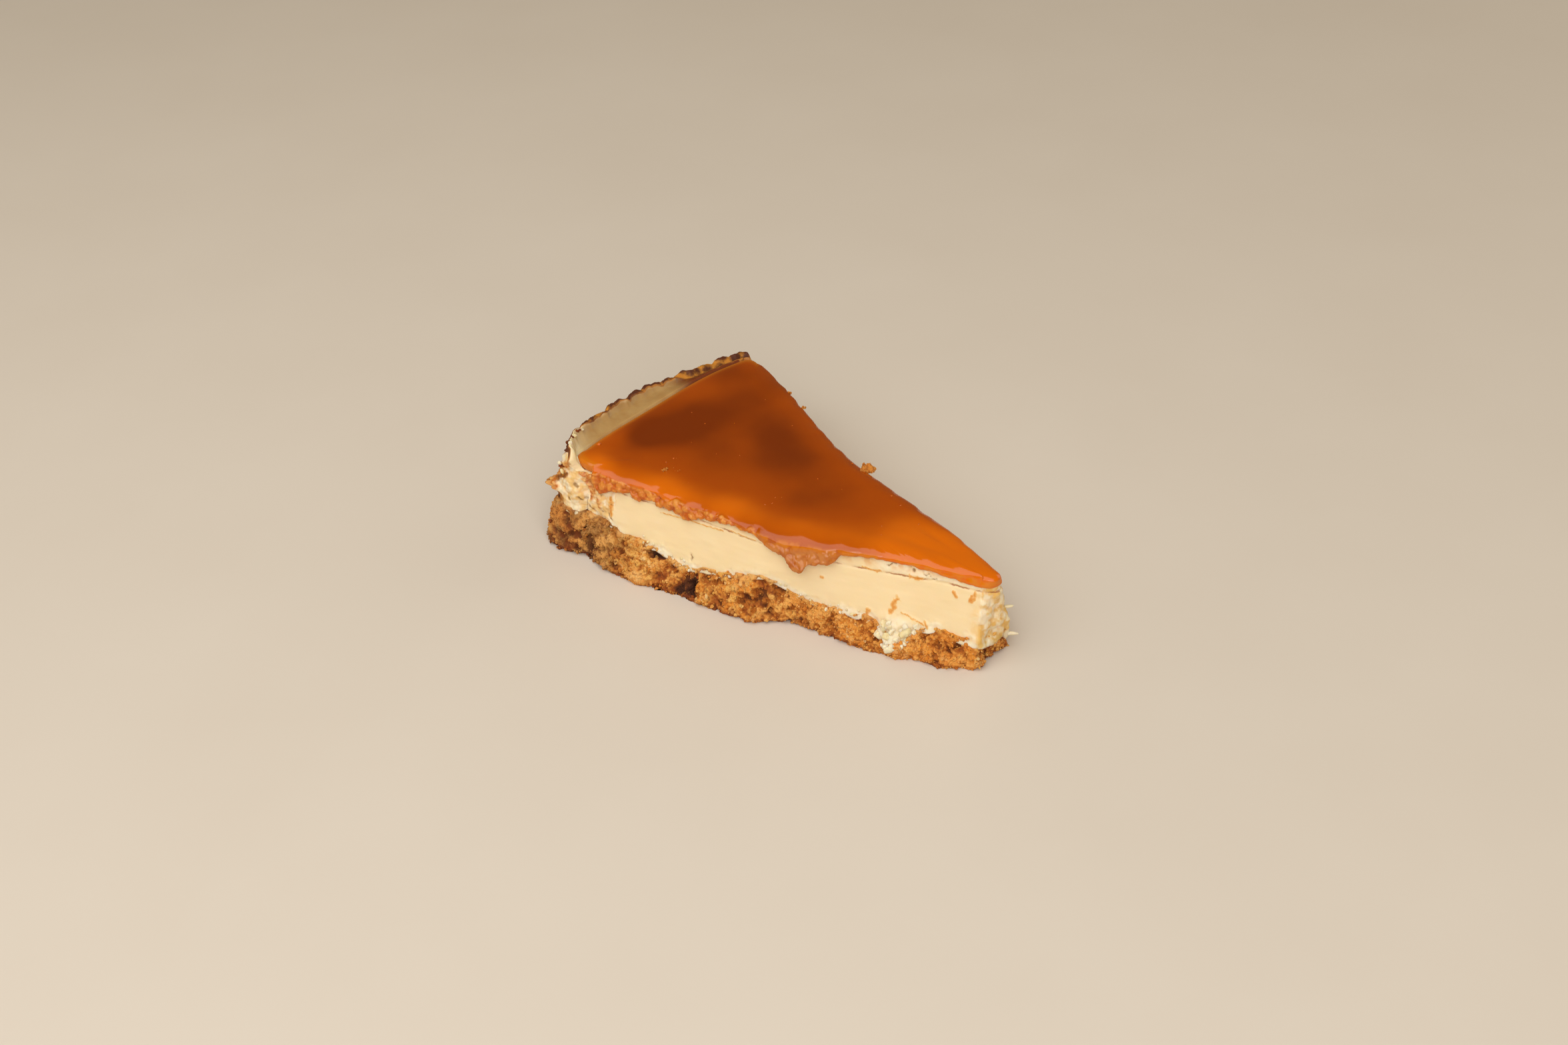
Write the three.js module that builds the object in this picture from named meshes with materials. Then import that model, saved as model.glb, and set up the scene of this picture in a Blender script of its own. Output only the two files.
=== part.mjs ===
// A slice of caramel topped baked cheesecake, in millimetres, +Z up.
// Three layers lie on one another: a pressed biscuit crumb base, a baked cheese filling that
// rises to a browned rim at its outer edge, and a layer of soft caramel that laps over the cuts.
// The tip points to -Y, the rim to +Y, and the torn cut with the caramel drip faces -X.
// Each layer is a stack of closed rings with the same columns, so neighbours meet ring to ring.

import * as THREE from 'three';

// The cake and its two cuts, measured from the tip of the caramel
const CAKE_RADIUS = 130;
const NEAR_ANGLE = THREE.MathUtils.degToRad(17.2);
const FAR_ANGLE = THREE.MathUtils.degToRad(18.4);
const TIP = new THREE.Vector2(-0.75, -65.5);

// The middle of the wedge, as far from its rim as from its cuts
const MIDDLE = new THREE.Vector2(0.5, 93);
const MIDDLE_REACH = 29;

// Heights above the surface that the slice stands on
const CARAMEL_TOP = 26;
const CARAMEL_RISE_AT_RIM = 1.5;
const CARAMEL_DIP_AT_TIP = 0.6;
const FILLING_TOP_AT_TIP = 23.2;
const FILLING_TOP_SLOPE = 0.01;
const RIM_TOP_NEAR = 30.2;
const RIM_TOP_FAR = 26.8;
const RIM_EDGE_DROP = 1.6;
const CRUMB_HEIGHT = 10.2;
const CRUMB_HEIGHT_AT_TIP = 7.8;
const CRUMB_HEIGHT_AT_RIM = 13.2;
const CRUMB_CORE_AT_TIP = 7.6;
const CRUMB_CORE_SLOPE = 0.02;

// Thicknesses and depths
const LAYER_GAP = 0.3;
const LAP_THICKNESS = 1.2;
const LAP_DEPTH = 2.9;
const DEEPEST_CREVICE = -1.8;
const CRUMB_SWELL = 0.5;
const FOOT_TUCK = -1.2;
const RIM_CRUST_WIDTH = 5;
const CORE_INSET = 3.5;

// How far the cut faces lean out from the caramel's edge down to the bottom
const NEAR_LEAN = 9.6;
const FAR_LEAN = 5.2;
const RIM_LEAN = 1.5;
const NOSE_LEAN = 3;
const STRAIGHT_LEAN_SHARE = 0.77;

// The sizes of the pieces that the layers break and bake into
const CLUMP_SIZE = 4.6;
const CURD_SIZE = 3.6;
const CRUST_BUMP_SIZE = 3.4;
const RAGGED_EDGE_SIZE = 3.1;

// Single features of the cuts: each is centred at a run from the tip and fades over its width
const NEAR_BELLY = { at: 60, width: 25, size: 4.8 };
const FAR_HOLLOW = { at: 70, width: 35, size: -4.7 };
const NEAR_FOOT = [
  { at: 26, width: 7, size: 2.4 },
  { at: 53, width: 9, size: -4.6 },
  { at: 92, width: 16, size: 1.5 },
];
const FAR_FOOT = [{ at: 0, width: 22, size: 4.5 }];
const CRUMB_TORN_UP = { at: 61, width: 5, size: 2 };
const CRUMB_TORN_AWAY = { at: 86, width: 7, size: -2.4 };
const CURD_POCKET = { at: 26, width: 5, size: -3 };
const DRIP = { at: 52, width: 1.6, size: 3 };
const LAP_TEARS = [
  { at: 90, width: 9, size: 2.4 },
  { at: 105, width: 6, size: 1.6 },
  { at: 114, width: 3, size: 4.5 },
];
const LAP_LOBES = { from: 43, to: 56, size: 3.4 };
const BROKEN_TIP = { at: new THREE.Vector2(8, -1), width: 8, size: -5 };

// Columns round each stretch of the outline, and rows up the walls
const COLUMNS = { near: 58, nearCorner: 8, rim: 32, farCorner: 6, far: 46, nose: 10 };
const CRUMB_ROWS = 6;
const FILLING_ROWS = 7;
const NOSE_START = { near: 4, far: 2 };

const mix = (a, b, t) => a + (b - a) * t;
const ramp = (a, b, x) => THREE.MathUtils.smoothstep(x, a, b);
const bump = (x, centre, width) => Math.exp(-(((x - centre) / width) ** 2));
const swell = (run, ...features) => features.reduce(
  (sum, { at, width, size }) => sum + size * bump(run, at, width), 0);

// A repeatable number from 0 to 1 for each point of a whole-number lattice.
function speckle(i, j, k) {
  const wave = Math.sin(i * 127.1 + j * 311.7 + k * 74.7) * 43758.5453;
  return wave - Math.floor(wave);
}

// Soft lumps of one size, from -1 to 1: lattice numbers blended smoothly.
function lumps(x, y, z, size) {
  const cell = [x / size, y / size, z / size];
  const low = cell.map(Math.floor);
  const part = cell.map((value, axis) => {
    const t = value - low[axis];
    return t * t * (3 - 2 * t);
  });
  let sum = 0;
  for (let corner = 0; corner < 8; corner += 1) {
    const step = [corner & 1, (corner >> 1) & 1, corner >> 2];
    const share = step.reduce((p, s, axis) => p * (s ? part[axis] : 1 - part[axis]), 1);
    sum += share * speckle(low[0] + step[0], low[1] + step[1], low[2] + step[2]);
  }
  return 2 * sum - 1;
}

// Cobbled crumbs of one size, from 0 in the gaps to 1 on a crumb: nearness to scattered seeds.
function cobbles(x, y, z, size) {
  const at = new THREE.Vector3(x, y, z).divideScalar(size);
  const low = at.clone().floor();
  const seed = new THREE.Vector3();
  let nearest = 1;
  for (let i = low.x - 1; i <= low.x + 1; i += 1) {
    for (let j = low.y - 1; j <= low.y + 1; j += 1) {
      for (let k = low.z - 1; k <= low.z + 1; k += 1) {
        seed.set(i + speckle(i, j, k), j + speckle(j, k, i), k + speckle(k, i, j));
        nearest = Math.min(nearest, seed.distanceToSquared(at));
      }
    }
  }
  return 1 - nearest;
}

// How far each cut stands outside its straight line, by the run from the tip.
const nearBow = (run) => 1.3 - 3 * (run / 114) ** 1.5 + swell(run, NEAR_BELLY);
const farBow = (run) => 0.9 - 1.1 * ramp(15, 45, run) + swell(run, FAR_HOLLOW)
  - 0.8 * ramp(95, 120, run);

// The top outline of a layer, as columns. Each has a place, an outward direction, the stretch
// that it belongs to, its run from the tip and its share of the way along the stretch.
function outline({ nearEnd, farEnd, nearRim, farRim, rimInset, nearCorner, farCorner }) {
  const along = (angle, side, run, bow) => new THREE.Vector2(
    side * (Math.sin(angle) * run + Math.cos(angle) * bow),
    Math.cos(angle) * run - Math.sin(angle) * bow,
  );
  const nearPoint = (run) => along(NEAR_ANGLE, -1, run, nearBow(run));
  const farPoint = (run) => along(FAR_ANGLE, 1, run, farBow(run));
  const rimPoint = (angle) => new THREE.Vector2(Math.sin(angle), Math.cos(angle))
    .multiplyScalar(CAKE_RADIUS - rimInset(angle));
  const curve = (from, by, to) => new THREE.QuadraticBezierCurve(from, by, to);
  const nearTurn = curve(nearPoint(nearEnd), nearCorner, rimPoint(nearRim));
  const farTurn = curve(rimPoint(farRim), farCorner, farPoint(farEnd));
  const noseTurn = curve(
    farPoint(NOSE_START.far), new THREE.Vector2(-0.4, -0.4), nearPoint(NOSE_START.near));
  const stretches = {
    near: (t) => [nearPoint(mix(NOSE_START.near, nearEnd, t)), mix(NOSE_START.near, nearEnd, t)],
    nearCorner: (t) => [nearTurn.getPoint(t), nearEnd],
    rim: (t) => [rimPoint(mix(nearRim, farRim, t)), CAKE_RADIUS],
    farCorner: (t) => [farTurn.getPoint(t), farEnd],
    far: (t) => [farPoint(mix(farEnd, NOSE_START.far, t)), mix(farEnd, NOSE_START.far, t)],
    nose: (t) => [noseTurn.getPoint(t), mix(NOSE_START.far, NOSE_START.near, t)],
  };
  const columns = [];
  for (const [stretch, count] of Object.entries(COLUMNS)) {
    for (let step = 0; step < count; step += 1) {
      const [point, run] = stretches[stretch](step / count);
      columns.push({ stretch, share: step / count, point, run });
    }
  }
  columns.forEach((column, i) => {
    const before = columns.at(i - 1).point;
    const after = columns[(i + 1) % columns.length].point;
    column.out = new THREE.Vector2(before.y - after.y, after.x - before.x).normalize();
  });
  return columns;
}

// The filling's rim is an arc of the cake. The caramel stops short of it, closest at the far cut.
const fillingOutline = outline({
  nearEnd: 120,
  farEnd: 124,
  nearRim: -0.21,
  farRim: 0.29,
  rimInset: () => 0,
  nearCorner: new THREE.Vector2(-41, 123.5),
  farCorner: new THREE.Vector2(41.3, 123.4),
});
const caramelOutline = outline({
  nearEnd: 118.5,
  farEnd: 121.5,
  nearRim: -0.24,
  farRim: 0.285,
  rimInset: (angle) => 5 + 3.2 * bump(angle, -0.02, 0.2),
  nearCorner: new THREE.Vector2(-34.2, 122),
  farCorner: new THREE.Vector2(37.8, 118.7),
});

// The straight plane where the caramel lies on the filling, and the caramel's top above it.
const fillingTop = (y) => FILLING_TOP_AT_TIP + FILLING_TOP_SLOPE * y;
const caramelTop = (y) => CARAMEL_TOP + CARAMEL_RISE_AT_RIM * ramp(85, 122, y)
  - CARAMEL_DIP_AT_TIP * bump(y, 0, 14);

// How far a column of the filling has the raised rim, from 0 along the cuts to 1 round the rim.
function rimShare({ stretch, share }) {
  const turn = { nearCorner: ramp(0.15, 0.5, share), rim: 1, farCorner: 1 - ramp(0.4, 0.8, share) };
  return turn[stretch] ?? 0;
}

// How far the filling's recess stands clear of the caramel, which it does before the rim rises.
function recessShare({ stretch, share }) {
  const turn = { nearCorner: ramp(0, 0.12, share), rim: 1, farCorner: 1 - ramp(0.88, 1, share) };
  return turn[stretch] ?? 0;
}

// How far a column of the caramel ends in the recess, and no longer laps down a cut.
function inlaidShare({ stretch, run }) {
  const turn = { near: ramp(116.8, 118.5, run), far: ramp(119.5, 121.5, run), nose: 0 };
  return turn[stretch] ?? 1;
}

// How far the face leans out at the bottom below a column.
function lean({ stretch, share, run }) {
  const nearLean = NEAR_LEAN + swell(run, ...NEAR_FOOT) - 4.5 * ramp(106, 124, run);
  const farLean = FAR_LEAN + swell(run, ...FAR_FOOT);
  const leans = {
    near: () => nearLean,
    nearCorner: () => mix(nearLean, RIM_LEAN, share) + 2 * bump(share, 0.5, 0.3),
    rim: () => RIM_LEAN,
    farCorner: () => mix(RIM_LEAN, farLean, share),
    far: () => farLean,
    nose: () => mix(mix(farLean, nearLean, share), NOSE_LEAN, 4 * share * (1 - share)),
  };
  return leans[stretch]();
}

// The height of the crumb under a column, at the cut. The near cut has it torn up in one place
// and away in two, the deeper of them filled with curd.
function crumbHeight({ stretch, point, run }) {
  const level = mix(CRUMB_HEIGHT_AT_TIP, CRUMB_HEIGHT, ramp(45, 62, run))
    + (CRUMB_HEIGHT_AT_RIM - CRUMB_HEIGHT) * ramp(98, 122, run);
  const torn = swell(run, CRUMB_TORN_UP, CRUMB_TORN_AWAY, CURD_POCKET);
  return level + (stretch === 'near' ? torn : 0) + 0.9 * lumps(point.x, point.y, 0, 6);
}

// How far the caramel laps down a cut, below its own top.
function lapDepth({ stretch, run, point }) {
  const even = LAP_DEPTH + 0.5 * lumps(point.x, point.y, 0, RAGGED_EDGE_SIZE);
  if (stretch === 'near') {
    const { from, to, size } = LAP_LOBES;
    const lobes = size * ramp(from - 1, from + 1.5, run) * (1 - ramp(to - 2, to + 2, run));
    const thin = -0.5 * (1 - ramp(from - 5, from, run));
    return (even + thin + lobes + swell(run, DRIP, ...LAP_TEARS)) * (1 - ramp(115.5, 117, run));
  }
  if (stretch === 'far') {
    return even * (1 - ramp(117.5, 119.5, run));
  }
  return stretch === 'nose' ? even : 0;
}

// The place of a point on a layer, at an offset out from its column. An offset inwards is pulled
// towards the middle, which draws the whole outline in by the same width, tip and all.
function place({ point, out }, offset, z) {
  const at = offset < 0
    ? point.clone().lerp(MIDDLE, -offset / MIDDLE_REACH)
    : point.clone().addScaledVector(out, offset);
  return new THREE.Vector3(at.x, at.y, z);
}

// The lean of the wall at a height: straight up to the caramel, and a little foot on the crumb.
function wallOffset(column, z) {
  const top = fillingTop(column.point.y);
  const straight = STRAIGHT_LEAN_SHARE * lean(column) * (top - z) / top;
  const foot = (1 - STRAIGHT_LEAN_SHARE) * lean(column) * Math.max(0, 1 - z / crumbHeight(column));
  return straight + foot;
}

// A ring drawn in towards the middle of the slice, keeping every nth column.
function drawnIn(ring, share, keep, heightOf) {
  return ring.filter((_, i) => i % keep === 0).map((vertex) => {
    const x = mix(vertex.x, MIDDLE.x, share);
    const y = mix(vertex.y, MIDDLE.y, share);
    return new THREE.Vector3(x, y, heightOf(x, y));
  });
}

// Closes a stack of rings, ordered from the bottom up, into one solid. A ring has as many
// vertices as the one before it or half as many, and the first and last rings are filled.
// A four-sided patch is split along its shorter diagonal, so that where two solids share rings
// their patches are split alike.
function ringSolid(name, rings, look) {
  const vertices = rings.flat();
  const faces = [];
  const starts = [0];
  for (const ring of rings) {
    starts.push(starts.at(-1) + ring.length);
  }
  for (let r = 0; r + 1 < rings.length; r += 1) {
    const size = rings[r].length;
    const step = size / rings[r + 1].length;
    for (let i = 0; i < size; i += step) {
      const [a, b, c] = [i, i + 1, i + step].map((n) => starts[r] + (n % size));
      const [p, q] = [i / step, i / step + 1].map((n) => starts[r + 1] + (n % (size / step)));
      if (step === 2) {
        faces.push([a, p, b], [b, p, q], [b, q, c]);
      } else if (vertices[a].distanceTo(vertices[q]) < vertices[b].distanceTo(vertices[p])) {
        faces.push([a, p, q], [a, q, b]);
      } else {
        faces.push([a, p, b], [b, p, q]);
      }
    }
  }
  for (const [end, up] of [[0, false], [rings.length - 1, true]]) {
    const ring = rings[end];
    const flat = ring.map(({ x, y }) => new THREE.Vector2(x, y));
    for (const [a, b, c] of THREE.ShapeUtils.triangulateShape(flat, [])) {
      const facesUp = THREE.ShapeUtils.area([flat[a], flat[b], flat[c]]) > 0;
      const ordered = facesUp === up ? [a, b, c] : [a, c, b];
      faces.push(ordered.map((n) => starts[end] + n));
    }
  }
  const geometry = new THREE.BufferGeometry().setFromPoints(vertices);
  geometry.setIndex(faces.flat());
  geometry.computeVertexNormals();
  const mesh = new THREE.Mesh(geometry, new THREE.MeshStandardMaterial(look));
  mesh.name = name;
  mesh.position.set(TIP.x, TIP.y, 0);
  return mesh;
}

// The rings where the filling lies on the crumb: the wall's edge, and the flat core inside it.
function seam(rise) {
  const edge = fillingOutline.map((column) => {
    const z = crumbHeight(column);
    return place(column, wallOffset(column, z), z + rise);
  });
  const core = fillingOutline.map((column) => {
    const at = place(column, wallOffset(column, CRUMB_CORE_AT_TIP) - CORE_INSET, 0);
    return at.setZ(CRUMB_CORE_AT_TIP + CRUMB_CORE_SLOPE * at.y + rise);
  });
  return { edge, core };
}

// The crumb base: clumps of crumb, tucked under at the foot.
function crumbBase() {
  const { edge, core } = seam(0);
  const rings = [];
  for (let row = 0; row < CRUMB_ROWS; row += 1) {
    rings.push(fillingOutline.map((column) => {
      const z = crumbHeight(column) * row / CRUMB_ROWS;
      const { x, y } = place(column, wallOffset(column, z), z);
      const clumps = 3 * (cobbles(x, y, z, CLUMP_SIZE) - 0.72) + 0.9 * lumps(x, y, z, 2 * CLUMP_SIZE);
      const fromBreak = BROKEN_TIP.at.distanceTo(new THREE.Vector2(x, y));
      const broken = BROKEN_TIP.size * bump(fromBreak, 0, BROKEN_TIP.width) * (1 - row / CRUMB_ROWS);
      const swollen = row === 0 ? FOOT_TUCK : CRUMB_SWELL;
      const relief = Math.max(clumps, DEEPEST_CREVICE) + swollen + broken;
      return place(column, wallOffset(column, z) + relief, z);
    }));
  }
  rings.push(edge, core);
  return ringSolid('crumb_base', rings, { color: 0xb07a40, roughness: 0.9, metalness: 0 });
}

// The cheese filling: its faces, the bumpy browned rim, and the recess that the caramel fills.
function cheeseFilling() {
  const { edge, core } = seam(LAYER_GAP);
  const rings = [core, edge];
  const top = (column) => mix(
    fillingTop(column.point.y), rimTop(column) - RIM_EDGE_DROP, rimShare(column));
  for (let row = 1; row <= FILLING_ROWS; row += 1) {
    rings.push(fillingOutline.map((column) => {
      const low = crumbHeight(column) + LAYER_GAP;
      const lapEnd = Math.min(top(column) - 0.6, caramelTop(column.point.y) - lapDepth(column) - 0.4);
      const last = row === FILLING_ROWS;
      const z = last ? top(column) : mix(low, lapEnd, row / (FILLING_ROWS - 1));
      const { x, y } = place(column, wallOffset(column, z), z);
      const torn = row < FILLING_ROWS - 1 ? 0.35 * lumps(x, y, z * 1.5, CURD_SIZE) : 0;
      return place(column, wallOffset(column, z) + torn, z);
    }));
  }
  const crust = [[0.1, -0.35], [0.35, 0], [0.65, -1.3]];
  const shoulder = (share, heightOf) => fillingOutline.map((column, i) => {
    const within = caramelOutline[i];
    const inner = place(within, mix(-2, 0.35, recessShare(column)), 0);
    const outer = place(column, 0, 0);
    const part = share(outer.distanceTo(inner));
    const at = outer.lerp(inner, part);
    return at.setZ(mix(fillingTop(at.y), heightOf(column, at), rimShare(column)));
  });
  for (const [share, drop] of crust) {
    rings.push(shoulder((width) => share * Math.min(1, RIM_CRUST_WIDTH / width), (column, at) => (
      rimTop(column) + drop + 0.9 * lumps(at.x, at.y, 0, CRUST_BUMP_SIZE))));
  }
  rings.push(shoulder((width) => 1 - Math.min(0.12, 0.2 / width), (_, at) => caramelTop(at.y) - 0.5));
  rings.push(shoulder(() => 1, (_, at) => fillingTop(at.y)));
  return ringSolid('cheese_filling', rings, { color: 0xf5dfb0, roughness: 0.55, metalness: 0 });
}

// The height of the browned rim, falling from the near cut to the far one.
function rimTop({ point }) {
  return mix(RIM_TOP_NEAR, RIM_TOP_FAR, ramp(-35, 38, point.x));
}

// The caramel: flat on top, rounded over at the cuts, with a torn lap hanging down them.
function caramelTopping() {
  const level = (column) => caramelTop(column.point.y);
  const under = (column) => fillingTop(column.point.y) + LAYER_GAP;
  const lapEnd = (column) => Math.min(under(column) - 0.3, level(column) - lapDepth(column));
  const thick = ({ point }) => LAP_THICKNESS * mix(0.5, 1, ramp(10, 45, point.y))
    + 0.3 * lumps(point.x, point.y, 5, RAGGED_EDGE_SIZE);
  const hung = (column, share, part) => {
    const z = mix(level(column) - 1.3, lapEnd(column), share);
    return [LAYER_GAP + wallOffset(column, z) + thick(column) * part, z];
  };
  const atCut = [
    (column) => [LAYER_GAP, under(column)],
    (column) => [LAYER_GAP + wallOffset(column, lapEnd(column)), lapEnd(column) + 0.15],
    (column) => hung(column, 1, 0.4),
    (column) => hung(column, 0.86, 0.85),
    (column) => hung(column, 0.4, 1),
    (column) => hung(column, 0, 0.95),
    (column) => [0.4, level(column) - 0.5],
    (column) => [-1, level(column) - 0.1],
    (column) => [-3.2, level(column)],
  ];
  const atRim = [[-0.15, 0], [-0.1, 0.1], [-0.06, 0.2], [-0.03, 0.35], [0, 0.5], [-0.1, 0.7],
    [-0.5, 0.88], [-1.4, 0.97], [-3.2, 1]];
  const rings = atCut.map((cut, i) => caramelOutline.map((column) => {
    const [cutOffset, cutHeight] = cut(column);
    const [rimOffset, share] = atRim[i];
    const rimHeight = mix(under(column), level(column), share);
    const inlaid = inlaidShare(column);
    return place(column, mix(cutOffset, rimOffset, inlaid), mix(cutHeight, rimHeight, inlaid));
  }));
  const wavy = (x, y) => caramelTop(y) + 0.15 * lumps(x, y, 0, 15);
  for (const [share, keep] of [[0.1, 1], [0.3, 2], [0.62, 4]]) {
    rings.push(drawnIn(rings[atCut.length - 1], share, keep, wavy));
  }
  return ringSolid('caramel_topping', rings, { color: 0xa84800, roughness: 0.12, metalness: 0 });
}

const slice = new THREE.Group();
slice.add(crumbBase(), cheeseFilling(), caramelTopping());

export default slice;
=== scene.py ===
"""Looks of a slice of caramel topped baked cheesecake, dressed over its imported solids."""

import itertools
import math
from types import SimpleNamespace

import bpy
import numpy as np
from mathutils import Matrix, Vector


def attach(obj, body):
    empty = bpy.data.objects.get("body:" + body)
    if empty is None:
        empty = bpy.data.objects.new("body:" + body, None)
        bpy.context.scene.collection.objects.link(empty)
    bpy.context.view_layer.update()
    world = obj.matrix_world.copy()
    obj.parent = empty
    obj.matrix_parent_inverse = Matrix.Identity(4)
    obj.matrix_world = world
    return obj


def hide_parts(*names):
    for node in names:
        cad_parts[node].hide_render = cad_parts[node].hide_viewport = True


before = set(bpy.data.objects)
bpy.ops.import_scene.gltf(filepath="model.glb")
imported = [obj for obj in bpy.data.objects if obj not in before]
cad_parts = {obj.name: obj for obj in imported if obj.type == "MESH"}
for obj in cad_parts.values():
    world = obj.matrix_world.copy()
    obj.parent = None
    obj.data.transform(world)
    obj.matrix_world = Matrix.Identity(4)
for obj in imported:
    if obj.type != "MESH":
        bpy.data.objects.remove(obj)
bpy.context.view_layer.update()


# Camera
# A diner's view across the torn cut, a little above the plate, with the tip to the right.
CAMERA_PLACE = Vector((-0.36983, -0.32010, 0.35597))
CAMERA_AIM = Vector((0.6115, 0.5430, -0.5756)).normalized()
CAMERA_ROLL = math.radians(0.70)

level = CAMERA_AIM.cross(Vector((0, 0, 1))).normalized()
upright = level.cross(CAMERA_AIM)
camera_right = level * math.cos(CAMERA_ROLL) - upright * math.sin(CAMERA_ROLL)
camera_up = level * math.sin(CAMERA_ROLL) + upright * math.cos(CAMERA_ROLL)

camera = bpy.data.objects.new("camera", bpy.data.cameras.new("camera"))
camera.data.lens = 50
camera.data.sensor_width = 36
camera.data.clip_start = 0.01
camera.matrix_world = Matrix((camera_right, camera_up, -CAMERA_AIM)).transposed().to_4x4()
camera.matrix_world.translation = CAMERA_PLACE
bpy.context.scene.collection.objects.link(camera)
bpy.context.scene.camera = camera


# Light and floor
# One broad soft light hangs to the left above the slice, with weak ones in front and at the right
# and a dim room, over a plain pale floor.
SLICE_MIDDLE = Vector((0, 0, 0.015))


def soft_light(name, direction, distance, size, power, colour):
    """A square lamp at a distance from the slice, turned to face it."""
    light = bpy.data.lights.new(name, "AREA")
    light.size = size
    light.energy = power
    light.color = colour
    lamp = bpy.data.objects.new(name, light)
    toward = Vector(direction).normalized()
    lamp.location = SLICE_MIDDLE + toward * distance
    lamp.rotation_euler = toward.to_track_quat("Z", "Y").to_euler()
    bpy.context.scene.collection.objects.link(lamp)


soft_light("window_light", (-0.50, 0.02, 0.86), distance=0.95, size=1.25, power=8.6,
           colour=(1, 0.985, 0.965))
soft_light("front_light", (-0.55, -0.62, 0.56), distance=1.3, size=0.9, power=6.0,
           colour=(1, 0.98, 0.96))
soft_light("side_light", (0.85, -0.2, 0.38), distance=1.4, size=0.9, power=3.0,
           colour=(1, 0.94, 0.86))

world = bpy.data.worlds.new("room")
world.use_nodes = True
room = world.node_tree.nodes["Background"]
room.inputs["Color"].default_value = (1, 0.76, 0.38, 1)
room.inputs["Strength"].default_value = 0.17
bpy.context.scene.world = world
bpy.context.scene.view_settings.view_transform = "Standard"


class Wire:
    """A socket of a finish, so that shader sums read as plain arithmetic."""

    def __init__(self, finish, socket):
        self.finish = finish
        self.socket = socket

    def maths(self, operation, first, second):
        return self.finish.node("ShaderNodeMath", {"operation": operation}, {0: first, 1: second})

    def __add__(self, other):
        return self.maths("ADD", self, other)

    def __radd__(self, other):
        return self.maths("ADD", other, self)

    def __sub__(self, other):
        return self.maths("SUBTRACT", self, other)

    def __rsub__(self, other):
        return self.maths("SUBTRACT", other, self)

    def __mul__(self, other):
        return self.maths("MULTIPLY", self, other)

    def __rmul__(self, other):
        return self.maths("MULTIPLY", other, self)

    def ramp(self, low, high):
        """From 0 below low to 1 above high, eased."""
        kind = {"interpolation_type": "SMOOTHSTEP"}
        return self.finish.node(
            "ShaderNodeMapRange", kind, {"Value": self, "From Min": low, "From Max": high})


def paint(code):
    """A colour from its six hexadecimal digits, as the shader's linear numbers."""
    channels = [int(code[i:i + 2], 16) / 255 for i in (0, 2, 4)]
    return (*[c / 12.92 if c <= 0.04045 else ((c + 0.055) / 1.055) ** 2.4 for c in channels], 1)


class Finish:
    """A material and its shader. Its one method for nodes sets a node up before wiring it."""

    def __init__(self, name, **constants):
        self.material = bpy.data.materials.new(name)
        self.material.use_nodes = True
        self.tree = self.material.node_tree
        self.shader = self.tree.nodes["Principled BSDF"]
        self.colour = None
        self.wear(**constants)

    def node(self, kind, settings, sockets, out=0):
        """Adds a node of a kind, applies its settings, then fills its sockets with wires or values."""
        node = self.tree.nodes.new(kind)
        for setting, value in settings.items():
            setattr(node, setting, value)
        for key, value in sockets.items():
            self.fill(node.inputs[key], value)
        return Wire(self, node.outputs[out])

    def fill(self, socket, value):
        """Links a wire to a socket, or gives it a number or a colour."""
        if isinstance(value, Wire):
            self.tree.links.new(value.socket, socket)
        else:
            socket.default_value = paint(value) if isinstance(value, str) else value

    def wear(self, **surface):
        """Fills the shader's own sockets."""
        for socket, value in surface.items():
            self.fill(self.shader.inputs[socket.replace("_", " ")], value)

    def place(self):
        """Where a point lies in the slice's frame, in metres."""
        return self.node("ShaderNodeTexCoord", {}, {}, "Object")

    def tone(self, name):
        """A number kept with each point of the piece."""
        return self.node("ShaderNodeAttribute", {"attribute_name": name}, {}, "Fac")

    def cloud(self, size, detail=2.0, rough=0.5, shift=0.0):
        """Soft cloudy noise from 0 to 1 whose patches are about a size in millimetres."""
        moved = self.node(
            "ShaderNodeVectorMath", {"operation": "ADD"}, {0: self.place(), 1: (shift,) * 3})
        return self.node("ShaderNodeTexNoise", {}, {
            "Vector": moved, "Scale": 1000 / size, "Detail": detail, "Roughness": rough}, "Fac")

    def patches(self, size, low, high, shift):
        """Patches of a size: 1 where the cloud is above high, down to 0 below low."""
        return self.cloud(size, 2, 0.5, shift).ramp(low, high)

    def ragged(self, name, amount, size, detail=2.0, rough=0.5, shift=0.0):
        """A tone moved up and down by a cloud of an amount, so that its borders are ragged."""
        return self.tone(name) + (self.cloud(size, detail, rough, shift) - 0.5) * amount

    def grains(self, size):
        """Nearness pattern of scattered grains of a size in millimetres."""
        return self.node(
            "ShaderNodeTexVoronoi", {}, {"Vector": self.place(), "Scale": 1000 / size}, "Distance")

    def mixed(self, share, first, second):
        """Two colours mixed by a share. The node keeps its colours at 6 and 7, and gives one at 2."""
        return self.node("ShaderNodeMix", {"data_type": "RGBA"}, {0: share, 6: first, 7: second}, 2)

    def coat(self, share, colour):
        """Lays a colour over the finish's own by a share."""
        self.colour = self.mixed(share, self.colour, colour)

    def bumped(self, height, depth):
        """A normal from a height pattern, whose full range is a depth in millimetres."""
        return self.node("ShaderNodeBump", {}, {"Height": height, "Distance": depth / 1000})


FLOOR_REACH = 4.0

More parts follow.
